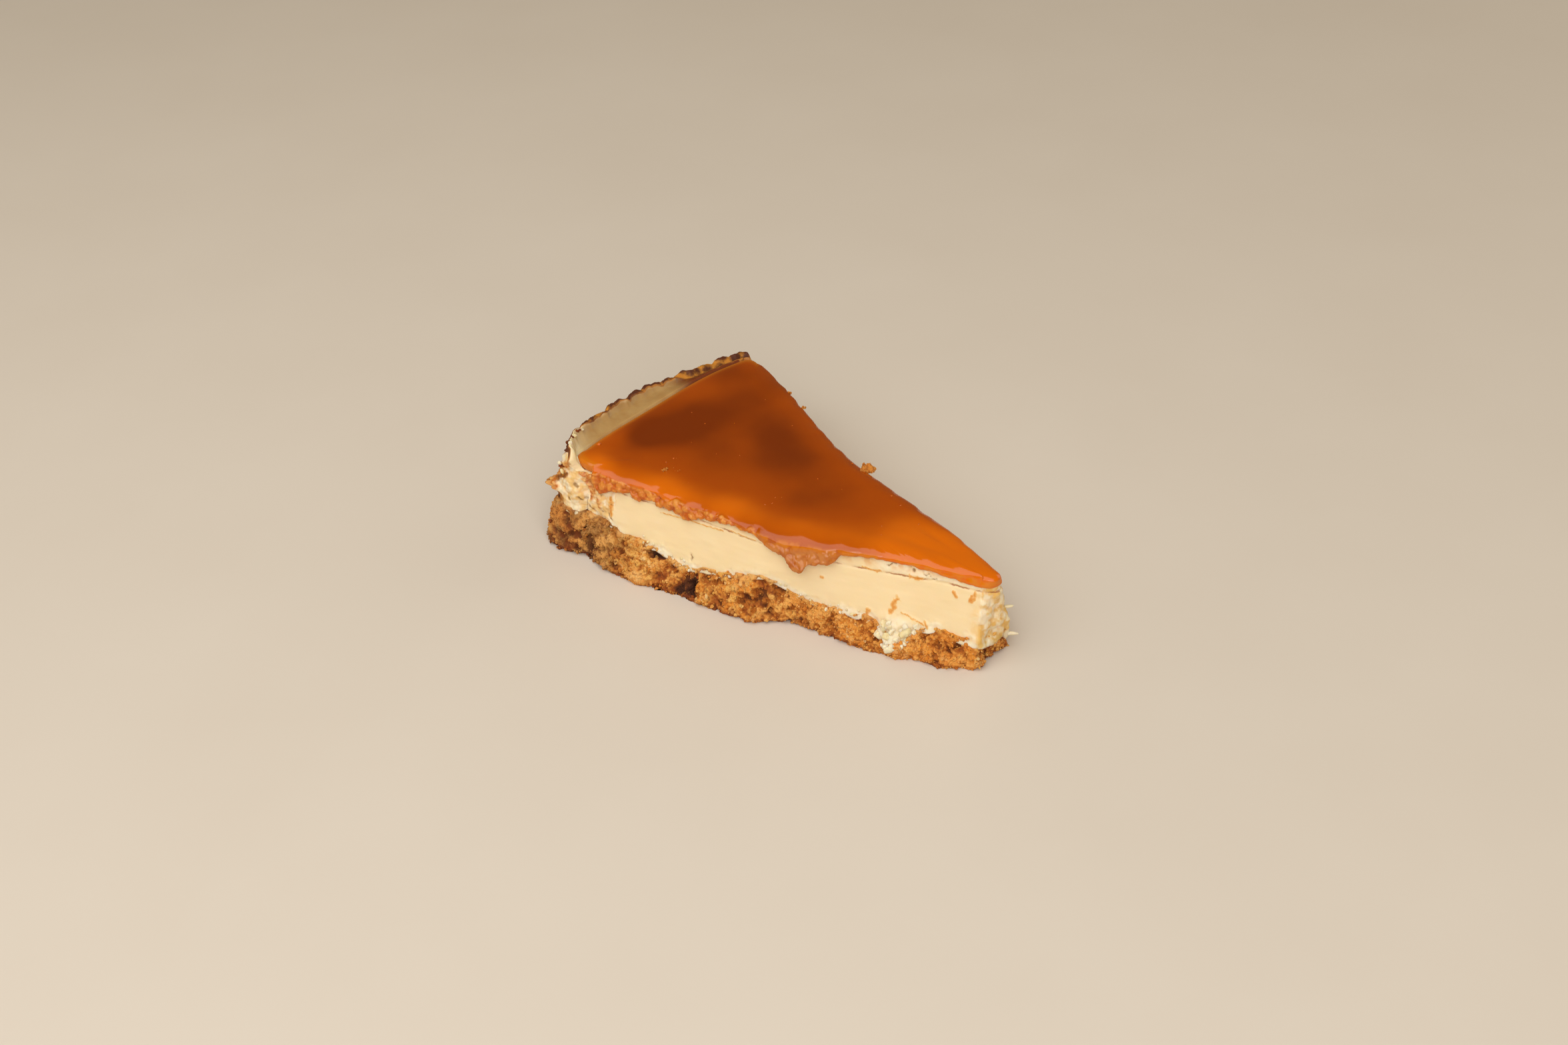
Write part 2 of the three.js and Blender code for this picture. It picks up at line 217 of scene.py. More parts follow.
floor_turn = ((-1, -1), (1, -1), (1, 1), (-1, 1))
floor_corners = [(x * FLOOR_REACH, y * FLOOR_REACH, 0) for x, y in floor_turn]
floor_mesh = bpy.data.meshes.new("floor")
floor_mesh.from_pydata(floor_corners, [], [(0, 1, 2, 3)])
floor = bpy.data.objects.new("floor", floor_mesh)
bpy.context.scene.collection.objects.link(floor)
floor_finish = Finish("pale_floor", Roughness=0.55)
floor_finish.wear(Base_Color=floor_finish.mixed(floor_finish.cloud(60, 3), "DDD2C4", "E2D8CB"))
floor_mesh.materials.append(floor_finish.material)


# Crumb base
# Crushed biscuit bound with butter, pressed into the tin and baked. The knife breaks it, so the cut
# is clumps of crumb with dark gaps between them, tucked under where it met the tin.
MM = 0.001
TIP = np.array((-0.75, -65.5))
CAKE_RADIUS = 130
NEAR_ANGLE = math.radians(17.2)
FAR_ANGLE = math.radians(18.4)
MIDDLE = np.array((0.5, 93))
MIDDLE_REACH = 29
NOSE_START = SimpleNamespace(near=4, far=2)
NOSE_CORNER = (-0.4, -0.4)
FILLING_TOP_AT_TIP = 23.2
FILLING_TOP_SLOPE = 0.01
STRAIGHT_LEAN_SHARE = 0.77
CRUMB_COLUMNS = {"near": 520, "near_corner": 56, "rim": 224, "far_corner": 30, "far": 380, "nose": 50}
CRUMB_ROWS = 46
CRUMB_TOP_AT_TIP = 7.8
CRUMB_TOP = 10.2
CRUMB_RISE_AT_RIM = 3
RIM_LEAN = 1.5
CLUMP_SIZE = 4.6
CRUMB_SIZE = 1.9
FINE_CRUMB_SIZE = 0.95
DEEPEST_CREVICE = -1.8
LOST_CRUMB_DEPTH = 1.3
CRUMB_SWELL = 0.5
FOOT_TUCK = -1.2
PRESSED_RIM_SHARE = 0.35
CHEESE_HANG = SimpleNamespace(far=2.6, near=1.3)

# Breaks at the foot of the tip: x and y of the middle, reach and depth, and a hollow over the first
TIP_BREAKS = ((8, -1, 8, 5), (-11.5, 0.6, 3.6, 2.6))
TIP_HOLLOW = SimpleNamespace(x=7.5, y=-1.5, z=4, reach=6.5, half_height=4.2, depth=2.2)

# Breaks in the near cut: run and height of the middle, half width, half height, depth
CRUMB_BREAKS = (
    (82.4, 4.0, 1.5, 3.2, 3.8),
    (84.6, 1.8, 2.4, 1.5, 2.6),
    (95.0, 8.4, 3.2, 0.8, 3.0),
    (61.5, 5.4, 1.8, 1.0, 1.6),
    (59.4, 3.2, 1.3, 1.3, 1.9),
    (64.8, 5.8, 1.9, 0.5, 1.6),
    (73.0, 8.0, 0.9, 0.6, 1.4),
    (45.0, 3.0, 1.6, 1.0, 1.2),
    (106.0, 2.4, 2.0, 1.2, 1.3),
    (14.0, 4.0, 1.6, 0.8, 0.8),
)


def mix(first, second, share):
    """The way from the first to the second by a share."""
    return first + (second - first) * share


def ramp(start, end, value):
    """From 0 before the start to 1 after the end, easing in and out."""
    part = np.clip((value - start) / (end - start), 0, 1)
    return part * part * (3 - 2 * part)


def bell(value, centre, width):
    """A bell of height 1: e to the minus square of the distance in widths."""
    return np.exp(-((value - centre) / width) ** 2)


def speckle(i, j, k):
    """A repeatable number from 0 to 1 for each point of a whole-number lattice."""
    wave = np.sin(i * 127.1 + j * 311.7 + k * 74.7) * 43758.5453
    return wave - np.floor(wave)


def lumps(x, y, z, size):
    """Soft lumps of one size, from -1 to 1: lattice numbers blended smoothly."""
    cell = [np.asarray(v, float) / size for v in (x, y, z)]
    low = [np.floor(v) for v in cell]
    part = [(v - v0) ** 2 * (3 - 2 * (v - v0)) for v, v0 in zip(cell, low)]
    total = 0
    for corner in itertools.product((0, 1), repeat=3):
        share = 1
        for step, t in zip(corner, part):
            share = share * (t if step else 1 - t)
        total = total + share * speckle(*[v0 + step for v0, step in zip(low, corner)])
    return 2 * total - 1


def cobbles(x, y, z, size):
    """Cobbled crumbs of one size: 1 on a crumb down to 0 in a gap, from the squared distance to
    scattered seeds; how much farther the next seed is; and a number of the crumb's own."""
    at = [np.asarray(v, float) / size for v in (x, y, z)]
    low = [np.floor(v) for v in at]
    nearest = np.full(at[0].shape, 9.0)
    second = nearest.copy()
    own = np.zeros(at[0].shape)
    for step in itertools.product((-1, 0, 1), repeat=3):
        i, j, k = [v + s for v, s in zip(low, step)]
        seed = (i + speckle(i, j, k), j + speckle(j, k, i), k + speckle(k, i, j))
        away = sum((s - v) ** 2 for s, v in zip(seed, at))
        closer = away < nearest
        second = np.where(closer, nearest, np.minimum(second, away))
        own = np.where(closer, speckle(i + 0.5, j, k), own)
        nearest = np.where(closer, away, nearest)
    return SimpleNamespace(
        near=1 - np.minimum(1, nearest), gap=np.sqrt(second) - np.sqrt(nearest), own=own)


def near_bow(run):
    """How far the near cut stands outside its straight line, by the run from the tip."""
    return 1.3 - 3 * (run / 114) ** 1.5 + 4.8 * bell(run, 60, 25)


def far_bow(run):
    """The same for the far cut, which is hollow over most of its length."""
    return 0.9 - 1.1 * ramp(15, 45, run) - 4.7 * bell(run, 70, 35) - 0.8 * ramp(95, 120, run)


def wedge(counts, near_end, far_end, near_rim, far_rim, inset, near_corner, far_corner):
    """The top outline of a layer as columns, clockwise: along the near cut from the tip, round the
    near corner, along the rim's arc, round the far corner, back along the far cut and round the nose.
    The cuts are straight lines plus their bow, and the turns are curves of the second degree."""
    def along(angle, side, run, bow):
        across = np.sin(angle) * run + np.cos(angle) * bow
        return np.stack((side * across, np.cos(angle) * run - np.sin(angle) * bow), -1)

    def near_point(run):
        return along(NEAR_ANGLE, -1, run, near_bow(run))

    def far_point(run):
        return along(FAR_ANGLE, 1, run, far_bow(run))

    def rim_point(angle):
        reach = CAKE_RADIUS - inset(angle)
        return np.stack((np.sin(angle) * reach, np.cos(angle) * reach), -1)

    def turn(start, by, end, t):
        t = t[:, None]
        return (1 - t) ** 2 * start + 2 * t * (1 - t) * np.array(by) + t ** 2 * end

    share = {name: np.arange(count) / count for name, count in counts.items()}
    near_run = mix(NOSE_START.near, near_end, share["near"])
    far_run = mix(far_end, NOSE_START.far, share["far"])
    points = {
        "near": near_point(near_run),
        "near_corner": turn(
            near_point(near_end), near_corner, rim_point(near_rim), share["near_corner"]),
        "rim": rim_point(mix(near_rim, far_rim, share["rim"])),
        "far_corner": turn(
            rim_point(far_rim), far_corner, far_point(far_end), share["far_corner"]),
        "far": far_point(far_run),
        "nose": turn(
            far_point(NOSE_START.far), NOSE_CORNER, near_point(NOSE_START.near), share["nose"]),
    }
    runs = {"near": near_run, "near_corner": near_end, "rim": CAKE_RADIUS, "far_corner": far_end,
            "far": far_run, "nose": mix(NOSE_START.far, NOSE_START.near, share["nose"])}
    run = [np.broadcast_to(runs[name], counts[name]) for name in counts]
    point = np.concatenate([points[name] for name in counts])
    across = np.roll(point, 1, 0) - np.roll(point, -1, 0)
    out = np.stack((across[:, 1], -across[:, 0]), -1)
    return SimpleNamespace(
        point=point,
        out=out / np.linalg.norm(out, axis=1)[:, None],
        stretch=np.concatenate([[name] * count for name, count in counts.items()]),
        share=np.concatenate([share[name] for name in counts]),
        run=np.concatenate(run).astype(float),
    )


def filling_wedge(counts):
    """The outline of the filling and of the crumb under it."""
    return wedge(
        counts, near_end=120, far_end=124, near_rim=-0.21, far_rim=0.29, inset=lambda angle: 0,
        near_corner=(-41, 123.5), far_corner=(41.3, 123.4))


def by_stretch(column, other=0, **numbers):
    """Each column's number, by the stretch of the outline that it belongs to."""
    masks = [column.stretch == name for name in numbers]
    return np.select(masks, [np.broadcast_to(n, column.run.shape) for n in numbers.values()], other)


def filling_top(y):
    """The height of the filling's flat top."""
    return FILLING_TOP_AT_TIP + FILLING_TOP_SLOPE * y


def lean(column):
    """How far the face leans out at the bottom below a column: least where the drip hangs."""
    run, share = column.run, column.share
    near = 9.6 + 2.4 * bell(run, 26, 7) - 4.6 * bell(run, 53, 9) + 1.5 * bell(run, 92, 16)
    near = near - 4.5 * ramp(106, 124, run)
    far = 5.2 + 4.5 * bell(run, 0, 22)
    return by_stretch(
        column,
        near=near,
        near_corner=mix(near, RIM_LEAN, share) + 2 * bell(share, 0.5, 0.3),
        rim=RIM_LEAN,
        far_corner=mix(RIM_LEAN, far, share),
        far=far,
        nose=mix(mix(far, near, share), 3, 4 * share * (1 - share)),
    )


def crumb_height(column):
    """The height of the crumb under a column: it steps up behind the tip and at the rim."""
    run = column.run
    x, y = column.point.T
    torn = 2 * bell(run, 61, 5) - 2.4 * bell(run, 86, 7) - 3 * bell(run, 26, 5)
    stepped = mix(CRUMB_TOP_AT_TIP, CRUMB_TOP, ramp(45, 62, run))
    return (stepped + CRUMB_RISE_AT_RIM * ramp(98, 122, run)
            + by_stretch(column, near=torn) + 0.9 * lumps(x, y, 0, 6))


def place(column, offset, height):
    """The place of a point at an offset out from its column. An offset outwards follows the
    column's own direction, and one inwards draws the point towards the middle of the slice."""
    offset, height, _ = np.broadcast_arrays(offset, height, column.run)
    pulled = np.maximum(-offset, 0)[..., None] / MIDDLE_REACH
    pushed = np.maximum(offset, 0)[..., None]
    flat = column.point + (MIDDLE - column.point) * pulled + column.out * pushed
    return np.concatenate((flat, height[..., None]), -1)


def wall_offset(column, z):
    """How far the wall leans out at a height: straight up to the caramel, plus a foot on the crumb."""
    top = filling_top(column.point[:, 1])
    straight = STRAIGHT_LEAN_SHARE * lean(column) * (top - z) / top
    foot = (1 - STRAIGHT_LEAN_SHARE) * lean(column) * np.maximum(0, 1 - z / crumb_height(column))
    return straight + foot


def tip_break(x, y, z, crumb_top):
    """How far the foot of the tip is broken away at a point of the wall."""
    broken = -sum(depth * bell(np.hypot(x - at_x, y - at_y), 0, reach)
                  for at_x, at_y, reach, depth in TIP_BREAKS)
    hollow = -TIP_HOLLOW.depth * bell(np.hypot(x - TIP_HOLLOW.x, y - TIP_HOLLOW.y), 0, TIP_HOLLOW.reach)
    hollow = hollow * bell(z, TIP_HOLLOW.z, TIP_HOLLOW.half_height)
    return broken * np.clip(1 - z / crumb_top, 0, 1) + hollow


def hang_depth(column):
    """How far the soft cheese hangs down over the crumb round the tip."""
    return by_stretch(
        column,
        near=CHEESE_HANG.near * (1 - ramp(4, 9, column.run)),
        nose=mix(CHEESE_HANG.far, CHEESE_HANG.near, column.share),
        far=CHEESE_HANG.far * (1 - ramp(2, 9, column.run)),
    )


def outward(rings, reach=1):
    """The unit normals of a stack of rings: up the rows crossed with round the columns, from the
    columns up to a reach away on both sides."""
    up = np.gradient(rings, axis=0)
    onwards = np.roll(rings, -reach, 1) - np.roll(rings, reach, 1)
    normal = np.cross(up, onwards)
    return normal / np.maximum(np.linalg.norm(normal, axis=-1), 1e-9)[..., None]


def piece(name, vertices, faces, finish, slot, smooth=True, **tones):
    """A mesh in the slice's frame, from millimetres from the tip, with numbers at its points."""
    mesh = bpy.data.meshes.new(name)
    moved = (vertices + (*TIP, 0)) * MM
    mesh.from_pydata(moved.tolist(), [], faces)
    for tone, values in tones.items():
        mesh.attributes.new(tone, "FLOAT", "POINT").data.foreach_set("value", np.ravel(values))
    if smooth:
        mesh.shade_smooth()
    mesh.materials.append(finish.material)
    made = bpy.data.objects.new(name, mesh)
    bpy.context.scene.collection.objects.link(made)
    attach(made, "root")
    return made


def shell(name, rings, finish, slot, **tones):
    """A closed skin: rings stacked from the bottom up, joined by four-sided faces, with a fan to a
    pole in the middle of the first ring and of the last."""
    rows, columns = rings.shape[:2]
    poles = np.stack((rings[0].mean(0), rings[-1].mean(0)))
    vertices = np.concatenate((rings.reshape(-1, 3), poles))
    i = np.arange(rows * columns).reshape(rows, columns)
    after = np.roll(i, -1, 1)
    sides = np.stack((i[:-1], i[1:], after[1:], after[:-1]), -1).reshape(-1, 4)
    bottom = np.stack((after[0], np.full(columns, i.size), i[0]), -1)
    top = np.stack((i[-1], np.full(columns, i.size + 1), after[-1]), -1)
    faces = sides.tolist() + bottom.tolist() + top.tolist()
    kept = {}
    for tone, values in tones.items():
        values = np.broadcast_to(values, (rows, columns))
        kept[tone] = np.append(values, (values[0].mean(), values[-1].mean()))
    return piece(name, vertices, faces, finish, slot, **kept)


column = filling_wedge(CRUMB_COLUMNS)
on_near = (column.stretch == "near").astype(float)
edge_x, edge_y = column.point.T
crumb_top = crumb_height(column) + 0.4 * lumps(edge_x, edge_y, 3, 2.3)
crumb_top = crumb_top + 0.3 * lumps(edge_x, edge_y, 5, 1.0)
z = np.linspace(0, 1, CRUMB_ROWS)[:, None] * crumb_top
wall = place(column, wall_offset(column, z), z)
x, y, z = np.moveaxis(wall, -1, 0)
depth_below_top = crumb_top - z
at_cut = 1 - ramp(0.0, 1.4, depth_below_top)

shake = 0.9 * lumps(x, y, z, 2.6)
big = cobbles(x + shake, y - shake, z + 0.7 * shake, CLUMP_SIZE)
clumps = 1.8 * (np.minimum(big.near, 0.9) - 0.72) + 0.9 * lumps(x, y, z, 2 * CLUMP_SIZE)
clumps = mix(np.maximum(clumps, DEEPEST_CREVICE), 0.1, at_cut)
tuck = mix(FOOT_TUCK, CRUMB_SWELL, ramp(-0.4, 1.7, z))
broken_tip = tip_break(x, y, z, crumb_top)
foot_step = bell(column.run, 12, 3.5) - ramp(14, 18, column.run) * (1 - ramp(27, 34, column.run))
undercut = 1.3 * on_near * foot_step * (1 - ramp(0.8, 2.6, z))
hang = hang_depth(column)
undercut = undercut - 1.1 * ramp(0, 1.5, hang) * ramp(-0.3, 0.6, hang - depth_below_top)

warp = 0.7 * lumps(x, y, z, 1.7)
crumbs = cobbles(x + warp, y - warp, z + 0.8 * warp, CRUMB_SIZE)
fines = cobbles(x - 0.4 * warp, y + 0.5 * warp, z, FINE_CRUMB_SIZE)
wander = lumps(x, y, z, CRUMB_SIZE)
broken = np.zeros_like(z)
for run, height, half_width, half_height, deep in CRUMB_BREAKS:
    hole = bell(column.run + wander, run, half_width) * bell(z + wander, height, half_height)
    broken = np.maximum(broken, deep * hole * on_near)
relief = (clumps + tuck + broken_tip + undercut - broken
          + 0.95 * (np.minimum(crumbs.near, 0.85) - 0.7) + 0.75 * (np.minimum(fines.near, 0.85) - 0.6)
          + 0.14 * lumps(x, y, z, 0.5))
relief = relief - LOST_CRUMB_DEPTH * (crumbs.own > 0.80) * ramp(0.35, 0.9, crumbs.near)
relief = relief * by_stretch(
    column, 1,
    near_corner=mix(1, PRESSED_RIM_SHARE, ramp(0.6, 1, column.share)),
    rim=PRESSED_RIM_SHARE,
    far_corner=mix(PRESSED_RIM_SHARE, 1, column.share),
)
crumb_wall = wall + outward(wall, 5) * relief[..., None]
crumb_wall[..., 2] = np.maximum(crumb_wall[..., 2], 0)
crumb_wall[0, :, 2] = 0

under = np.stack([place(column, -1.5 - 3.5 * step, 0.0) for step in (2, 1, 0)])
carved = np.minimum(relief[-1], 0)
within = np.stack([place(column, wall_offset(column, crumb_top) + carved - inset, crumb_top - drop)
                   for inset, drop in ((0.7, 0.1), (1.8, 0.5), (3.5, 1.2))])
crumb_rings = np.concatenate((under, crumb_wall, within))


def padded(values):
    """The numbers of the crumb's wall, with its end rows repeated for the rings under and over it."""
    values = np.broadcast_to(values, crumb_wall.shape[:2])
    return np.concatenate((values[:1].repeat(len(under), 0), values, values[-1:].repeat(len(within), 0)))


# How far the crumb stands out, from 0 deep in a crevice to 1 on the proudest crumb: it sets painted
# shade in the crevices and a painted highlight on top
proud = np.clip(0.5 + 0.28 * (relief - CRUMB_SWELL - broken_tip - undercut), 0, 1)
at_left = by_stretch(column, near=ramp(98, 116, column.run), near_corner=1, rim=1, far_corner=1)
toast = (1 - ramp(0.4, 2.8, z)) * 0.8 + by_stretch(column, near_corner=0.5, rim=0.8)
crumb_tones = {
    "proud": proud,
    "tint": 0.6 * crumbs.own + 0.4 * fines.own,
    "toast": np.clip(toast, 0, 1),
    # Nearness to a fine crumb, low in the gaps between them, where shade is painted
    "fine_gap_shading": fines.near,
    "tip_painted_light": on_near * (1 - ramp(30, 62, column.run)) * proud,
    "chunk": ramp(0.42, 0.6, big.own) * ramp(0.25, 0.7, big.near),
    # How deep the cut is broken, for painted shade in the breaks
    "gap": np.clip(broken / 2.2, 0, 1),
    "grey": at_left * np.ones_like(z),
    "greasy": at_cut,
}

crumb = Finish("baked_biscuit_crumb", Roughness=0.85, Subsurface_Weight=0.08,
               Subsurface_Radius=(0.6, 0.3, 0.1), Subsurface_Scale=0.002)
proud_now = crumb.ragged("proud", 0.5, 1.3, 3, 0.6)
tint_now = crumb.ragged("tint", 0.8, 6)
fine_gap_shading_now = crumb.ragged("fine_gap_shading", 0.5, 0.8, 3, 0.6, 1.0)
golden = crumb.mixed(tint_now.ramp(0.2, 0.8), "E08C2C", "EEB45A")
deep = crumb.mixed(tint_now.ramp(0.3, 0.8), "9C4C0A", "BC6C18")
greyed = crumb.mixed(proud_now.ramp(0.3, 0.8), "52280C", "A46A2A")
toasted = crumb.mixed(proud_now.ramp(0.3, 0.8), "924006", "D87C1C")

# From painted shade in the crevices out to a painted highlight on the proudest crumbs, then greyed,
# toasted and greasy places, with painted shade in gaps, breaks and pores and painted light near the tip
crumb.colour = crumb.mixed(proud_now.ramp(0.22, 0.62), deep, golden)
# A painted highlight on the proudest crumbs
crumb.coat(proud_now.ramp(0.62, 0.95), "F2C884")
# Painted shade, darkest, down in the crevices
crumb.coat((1 - proud_now.ramp(-0.05, 0.25)) * 0.85, "52260A")
crumb.coat(crumb.tone("grey") * 0.8, greyed)
crumb.coat(crumb.tone("chunk") * proud_now.ramp(0.35, 0.7) * 0.6, "EEAE5C")
# Painted shade in the gaps between fine crumbs
crumb.coat((1 - fine_gap_shading_now.ramp(0.25, 0.6)) * 0.6, "7C3A0A")
# Painted shade, near black, in the breaks of the near cut
crumb.coat(crumb.tone("gap").ramp(0.3, 0.9) * 0.8, "3C1806")
# Painted light on the proud crumbs of the near cut towards the tip
crumb.coat(crumb.tone("tip_painted_light") * 0.45, "EE9426")
crumb.coat(crumb.tone("toast") * crumb.patches(3.5, 0.4, 0.62, 7.0) * 0.85, toasted)
crumb.coat(crumb.tone("greasy") * crumb.patches(5, 0.40, 0.60, 4.0) * 0.6, "E8BA76")
# Dark specks of painted shade, standing for tiny pores
crumb.coat((1 - crumb.cloud(0.7, 2, 0.6, 3.0).ramp(0.30, 0.42)) * 0.55, "66340E")
crumb_relief = crumb.cloud(0.9, 4, 0.65) + crumb.grains(0.7) * 0.6
crumb.wear(Base_Color=crumb.colour, Normal=crumb.bumped(crumb_relief, 0.45))

crumb_base = shell("crumb_base_fine", crumb_rings, crumb, "crumb",
                   **{tone: padded(values) for tone, values in crumb_tones.items()})
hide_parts("crumb_base")


# Loose crumbs
# Crumbs that the knife freed and that cling to the broken cut, from dust to the size of a lentil.
LOOSE_CRUMBS = SimpleNamespace(count=1500, sizes=(0.30, 0.78), sink=0.38)
FINE_CRUMBS = SimpleNamespace(count=4600, sizes=(0.14, 0.36), sink=0.35)

dice = np.random.default_rng(7)


def pebbles(places, sizes, around, across, pull_range=0.3):
    """Small lumps: each is a ball of rings and two poles, squashed along one way, turned at random
    and with its points pulled in and out. Returns the points, the faces and each point's lump."""
    turn = np.arange(around) * 2 * np.pi / around
    slope = np.pi * (np.arange(across) + 1) / (across + 1)
    ring = np.stack(np.broadcast_arrays(
        np.sin(slope)[:, None] * np.cos(turn), np.sin(slope)[:, None] * np.sin(turn),
        -np.cos(slope)[:, None]), -1).reshape(-1, 3)
    ball = np.concatenate((ring, [(0, 0, -1), (0, 0, 1)]))
    count = len(places)
    basis = np.linalg.qr(dice.normal(size=(count, 3, 3)))[0]
    basis[:, :, 0] *= np.sign(np.linalg.det(basis))[:, None]
    stretch = dice.uniform(0.55, 1.2, (count, 1, 3))
    pull = dice.uniform(0.9 - pull_range, 0.9 + pull_range, (count, len(ball), 1))
    turned = np.einsum("nij,nvj->nvi", basis, ball * stretch * pull)
    points = places[:, None] + turned * sizes[:, None, None]
    i = np.arange(around * across).reshape(across, around)
    after = np.roll(i, -1, 1)
    sides = np.stack((i[:-1], after[:-1], after[1:], i[1:]), -1).reshape(-1, 4)
    bottom = np.stack((i[0], np.full(around, i.size), after[0]), -1)
    top = np.stack((after[-1], np.full(around, i.size + 1), i[-1]), -1)
    starts = np.arange(count)[:, None, None] * len(ball)
    faces = []
    for part in (sides, bottom, top):
        faces += (part[None] + starts).reshape(-1, part.shape[-1]).tolist()
    return points.reshape(-1, 3), faces, np.repeat(np.arange(count), len(ball))


def scattered(name, group, around, across):
    """Crumbs on the broken wall: points of its fine mesh drawn by chance, and sunk into it by a share
    of their own size. Each takes the numbers of the wall where it sits, with a tint of its own."""
    weight = chance.ravel() / chance.sum()
    count = group.count
    chosen = dice.choice(weight.size, count, replace=False, p=weight)
    outs = outward(crumb_wall).reshape(-1, 3)[chosen]
    size = dice.uniform(*group.sizes, count) * dice.uniform(0.7, 1, count)
    places = crumb_wall.reshape(-1, 3)[chosen] + outs * (size * (1 - 2 * group.sink))[:, None]
    places[:, 2] = np.maximum(places[:, 2], size * 0.8)
    points, faces, owner = pebbles(places, size, around, across)
    points[:, 2] = np.maximum(points[:, 2], 0)
    own = {tone: np.broadcast_to(values, z.shape).ravel()[chosen]
           for tone, values in crumb_tones.items()}
    own["proud"] = np.clip(0.35 + 0.5 * own["proud"] + dice.normal(0, 0.14, count), 0, 1)
    own["tint"] = dice.uniform(0, 1, count)
    own = {tone: values[owner] for tone, values in own.items()}
    piece(name, points, faces, crumb, "crumb", smooth=False, **own)


spacing = np.linalg.norm(np.roll(crumb_wall, -1, 1) - crumb_wall, axis=-1)
chance = spacing * (0.35 + bell(z, 0.8, 1.3) + 0.6 * at_cut + 0.5 * (proud > 0.5))
scattered("loose_crumbs", LOOSE_CRUMBS, around=7, across=4)
scattered("fine_crumbs", FINE_CRUMBS, around=5, across=3)


# Cheese filling
# Soft cheese baked with egg: smooth where the knife slid, curdled above the crumb and torn at the
# rim, where it climbed the tin and browned to a bumpy crust. Its top skin shows under the caramel.
CHEESE_COLUMNS = {"near": 420, "near_corner": 60, "rim": 240, "far_corner": 30, "far": 286, "nose": 44}
CHEESE_ROWS = 58
CREST_ROWS = 22
RIM_TOP_NEAR = 30.2
RIM_TOP_FAR = 26.8
RIM_EDGE_DROP = 1.6
LAYER_GAP = 0.3
CARAMEL_TOP = 26
CRUST_BUMP_SIZE = 3.4
CURD_SIZE = 2.1
SMALL_CURD_SIZE = 1.1
PORE_SIZE = 2.0
CHEESE_DIP = 1.1
SKIN_HEIGHT = 20.5
TEAR_RUN = 110.5

# The rim's outline, from its outer edge inwards: distance and height against its top
CAKE_CREST = ((0, -1.6), (0.5, -0.5), (1.1, -0.08), (1.75, 0), (2.4, -0.4), (3.25, -1.3))

# A knob of curd that stands out of the torn left corner
KNOB = SimpleNamespace(x=-35.0, y=124.4, z=17.6, reach=2.2, half_height=1.7, height=4.0)

# Strokes on the near cut, for stains, for cracks and pits, and for smears of caramel on the torn
# corner: run and height of both ends, and half width
STAINS = (
    (25.7, 14.2, 26.6, 10.4, 0.75), (24.0, 11.0, 17.8, 8.7, 0.26), (46.9, 15.3, 46.3, 15.2, 0.5),
    (33.0, 9.6, 33.2, 7.8, 0.6), (11.3, 18.9, 10.2, 17.7, 0.5), (5.3, 19.6, 6.4, 17.5, 0.6),
    (36.0, 20.2, 31.0, 19.9, 0.35), (74.0, 21.5, 66.0, 21.2, 0.22), (7.0, 22.7, 3.0, 22.3, 0.8),
    (112.0, 18.6, 111.5, 14.6, 0.9), (23.2, 20.2, 20.0, 20.4, 0.5), (17.5, 9.4, 16.6, 7.9, 0.4),
    (96.0, 19.4, 76.0, 20.6, 0.2),
)
CRACKS = (
    (30.0, 22.2, 27.2, 22.5, 0.26), (22.9, 22.1, 22.2, 22.1, 0.3), (20.0, 21.8, 15.5, 20.8, 0.13),
    (85.1, 10.9, 85.1, 10.3, 0.5), (123.6, 20.6, 122.8, 20.2, 0.5), (125.8, 16.1, 125.2, 15.7, 0.4),
    (121.6, 16.5, 121.2, 16.0, 0.4), (119.2, 14.2, 118.6, 13.9, 0.45), (112.3, 13.8, 111.9, 13.4, 0.4),
)
SMEARS = (
    (117.2, 17.0, 118.0, 20.0, 1.5), (113.6, 22.6, 114.2, 24.6, 1.3), (116.5, 22.0, 121.0, 24.5, 1.6),
    (117.0, 18.6, 119.5, 21.5, 1.0), (124.0, 26.3, 128.4, 24.2, 1.1), (128.6, 23.6, 126.2, 22.4, 0.7),
    (129.4, 22.0, 129.8, 17.5, 1.2),
)


def caramel_wedge(counts):
    """The outline of the caramel, which stops short of the rim, closest at the cuts."""
    return wedge(
        counts, near_end=118.5, far_end=121.5, near_rim=-0.24, far_rim=0.285,
        inset=lambda angle: 5 + 3.2 * bell(angle, -0.02, 0.2),
        near_corner=(-34.2, 122), far_corner=(37.8, 118.7))


def stroke(run, z, start, end, reach):
    """Closeness to a straight stroke on a face, from the run and height of its two ends: 1 on it,
    down to e to the minus square of the distance from it in reaches."""
    along_run, along_z = end[0] - start[0], end[1] - start[1]
    part = (run - start[0]) * along_run + (z - start[1]) * along_z
    part = np.clip(part / (along_run ** 2 + along_z ** 2 + 1e-9), 0, 1)
    off = np.hypot(run - start[0] - part * along_run, z - start[1] - part * along_z)
    return bell(off, 0, reach)


def strokes(rows, amount, size, thin=math.inf):
    """Closeness to the nearest of many strokes on the near cut. Soft lumps of an amount and a size
    shake them, and a stroke whose half width is below one part in thin is shaken less."""
    shake = amount * lumps(x, y, z, size)
    nearest = np.zeros_like(z)
    for start_run, start_z, end_run, end_z, reach in rows:
        jitter = shake * min(1, thin * reach)
        near = stroke(face_run + jitter, z + jitter, (start_run, start_z), (end_run, end_z), reach)
        nearest = np.maximum(nearest, near_side * near)
    return nearest


def rounded_line(value, points):
    """Straight lines through points, their corners rounded by the mean of five readings close by."""
    places, heights = zip(*points)
    return sum(np.interp(value + shift, places, heights) for shift in (-0.5, -0.25, 0, 0.25, 0.5)) / 5


def caramel_top(y):
    """The height of the caramel, which rises to the rim and thins at the tip."""
    return CARAMEL_TOP + 1.5 * ramp(85, 122, y) - 0.6 * bell(y, 0, 14)


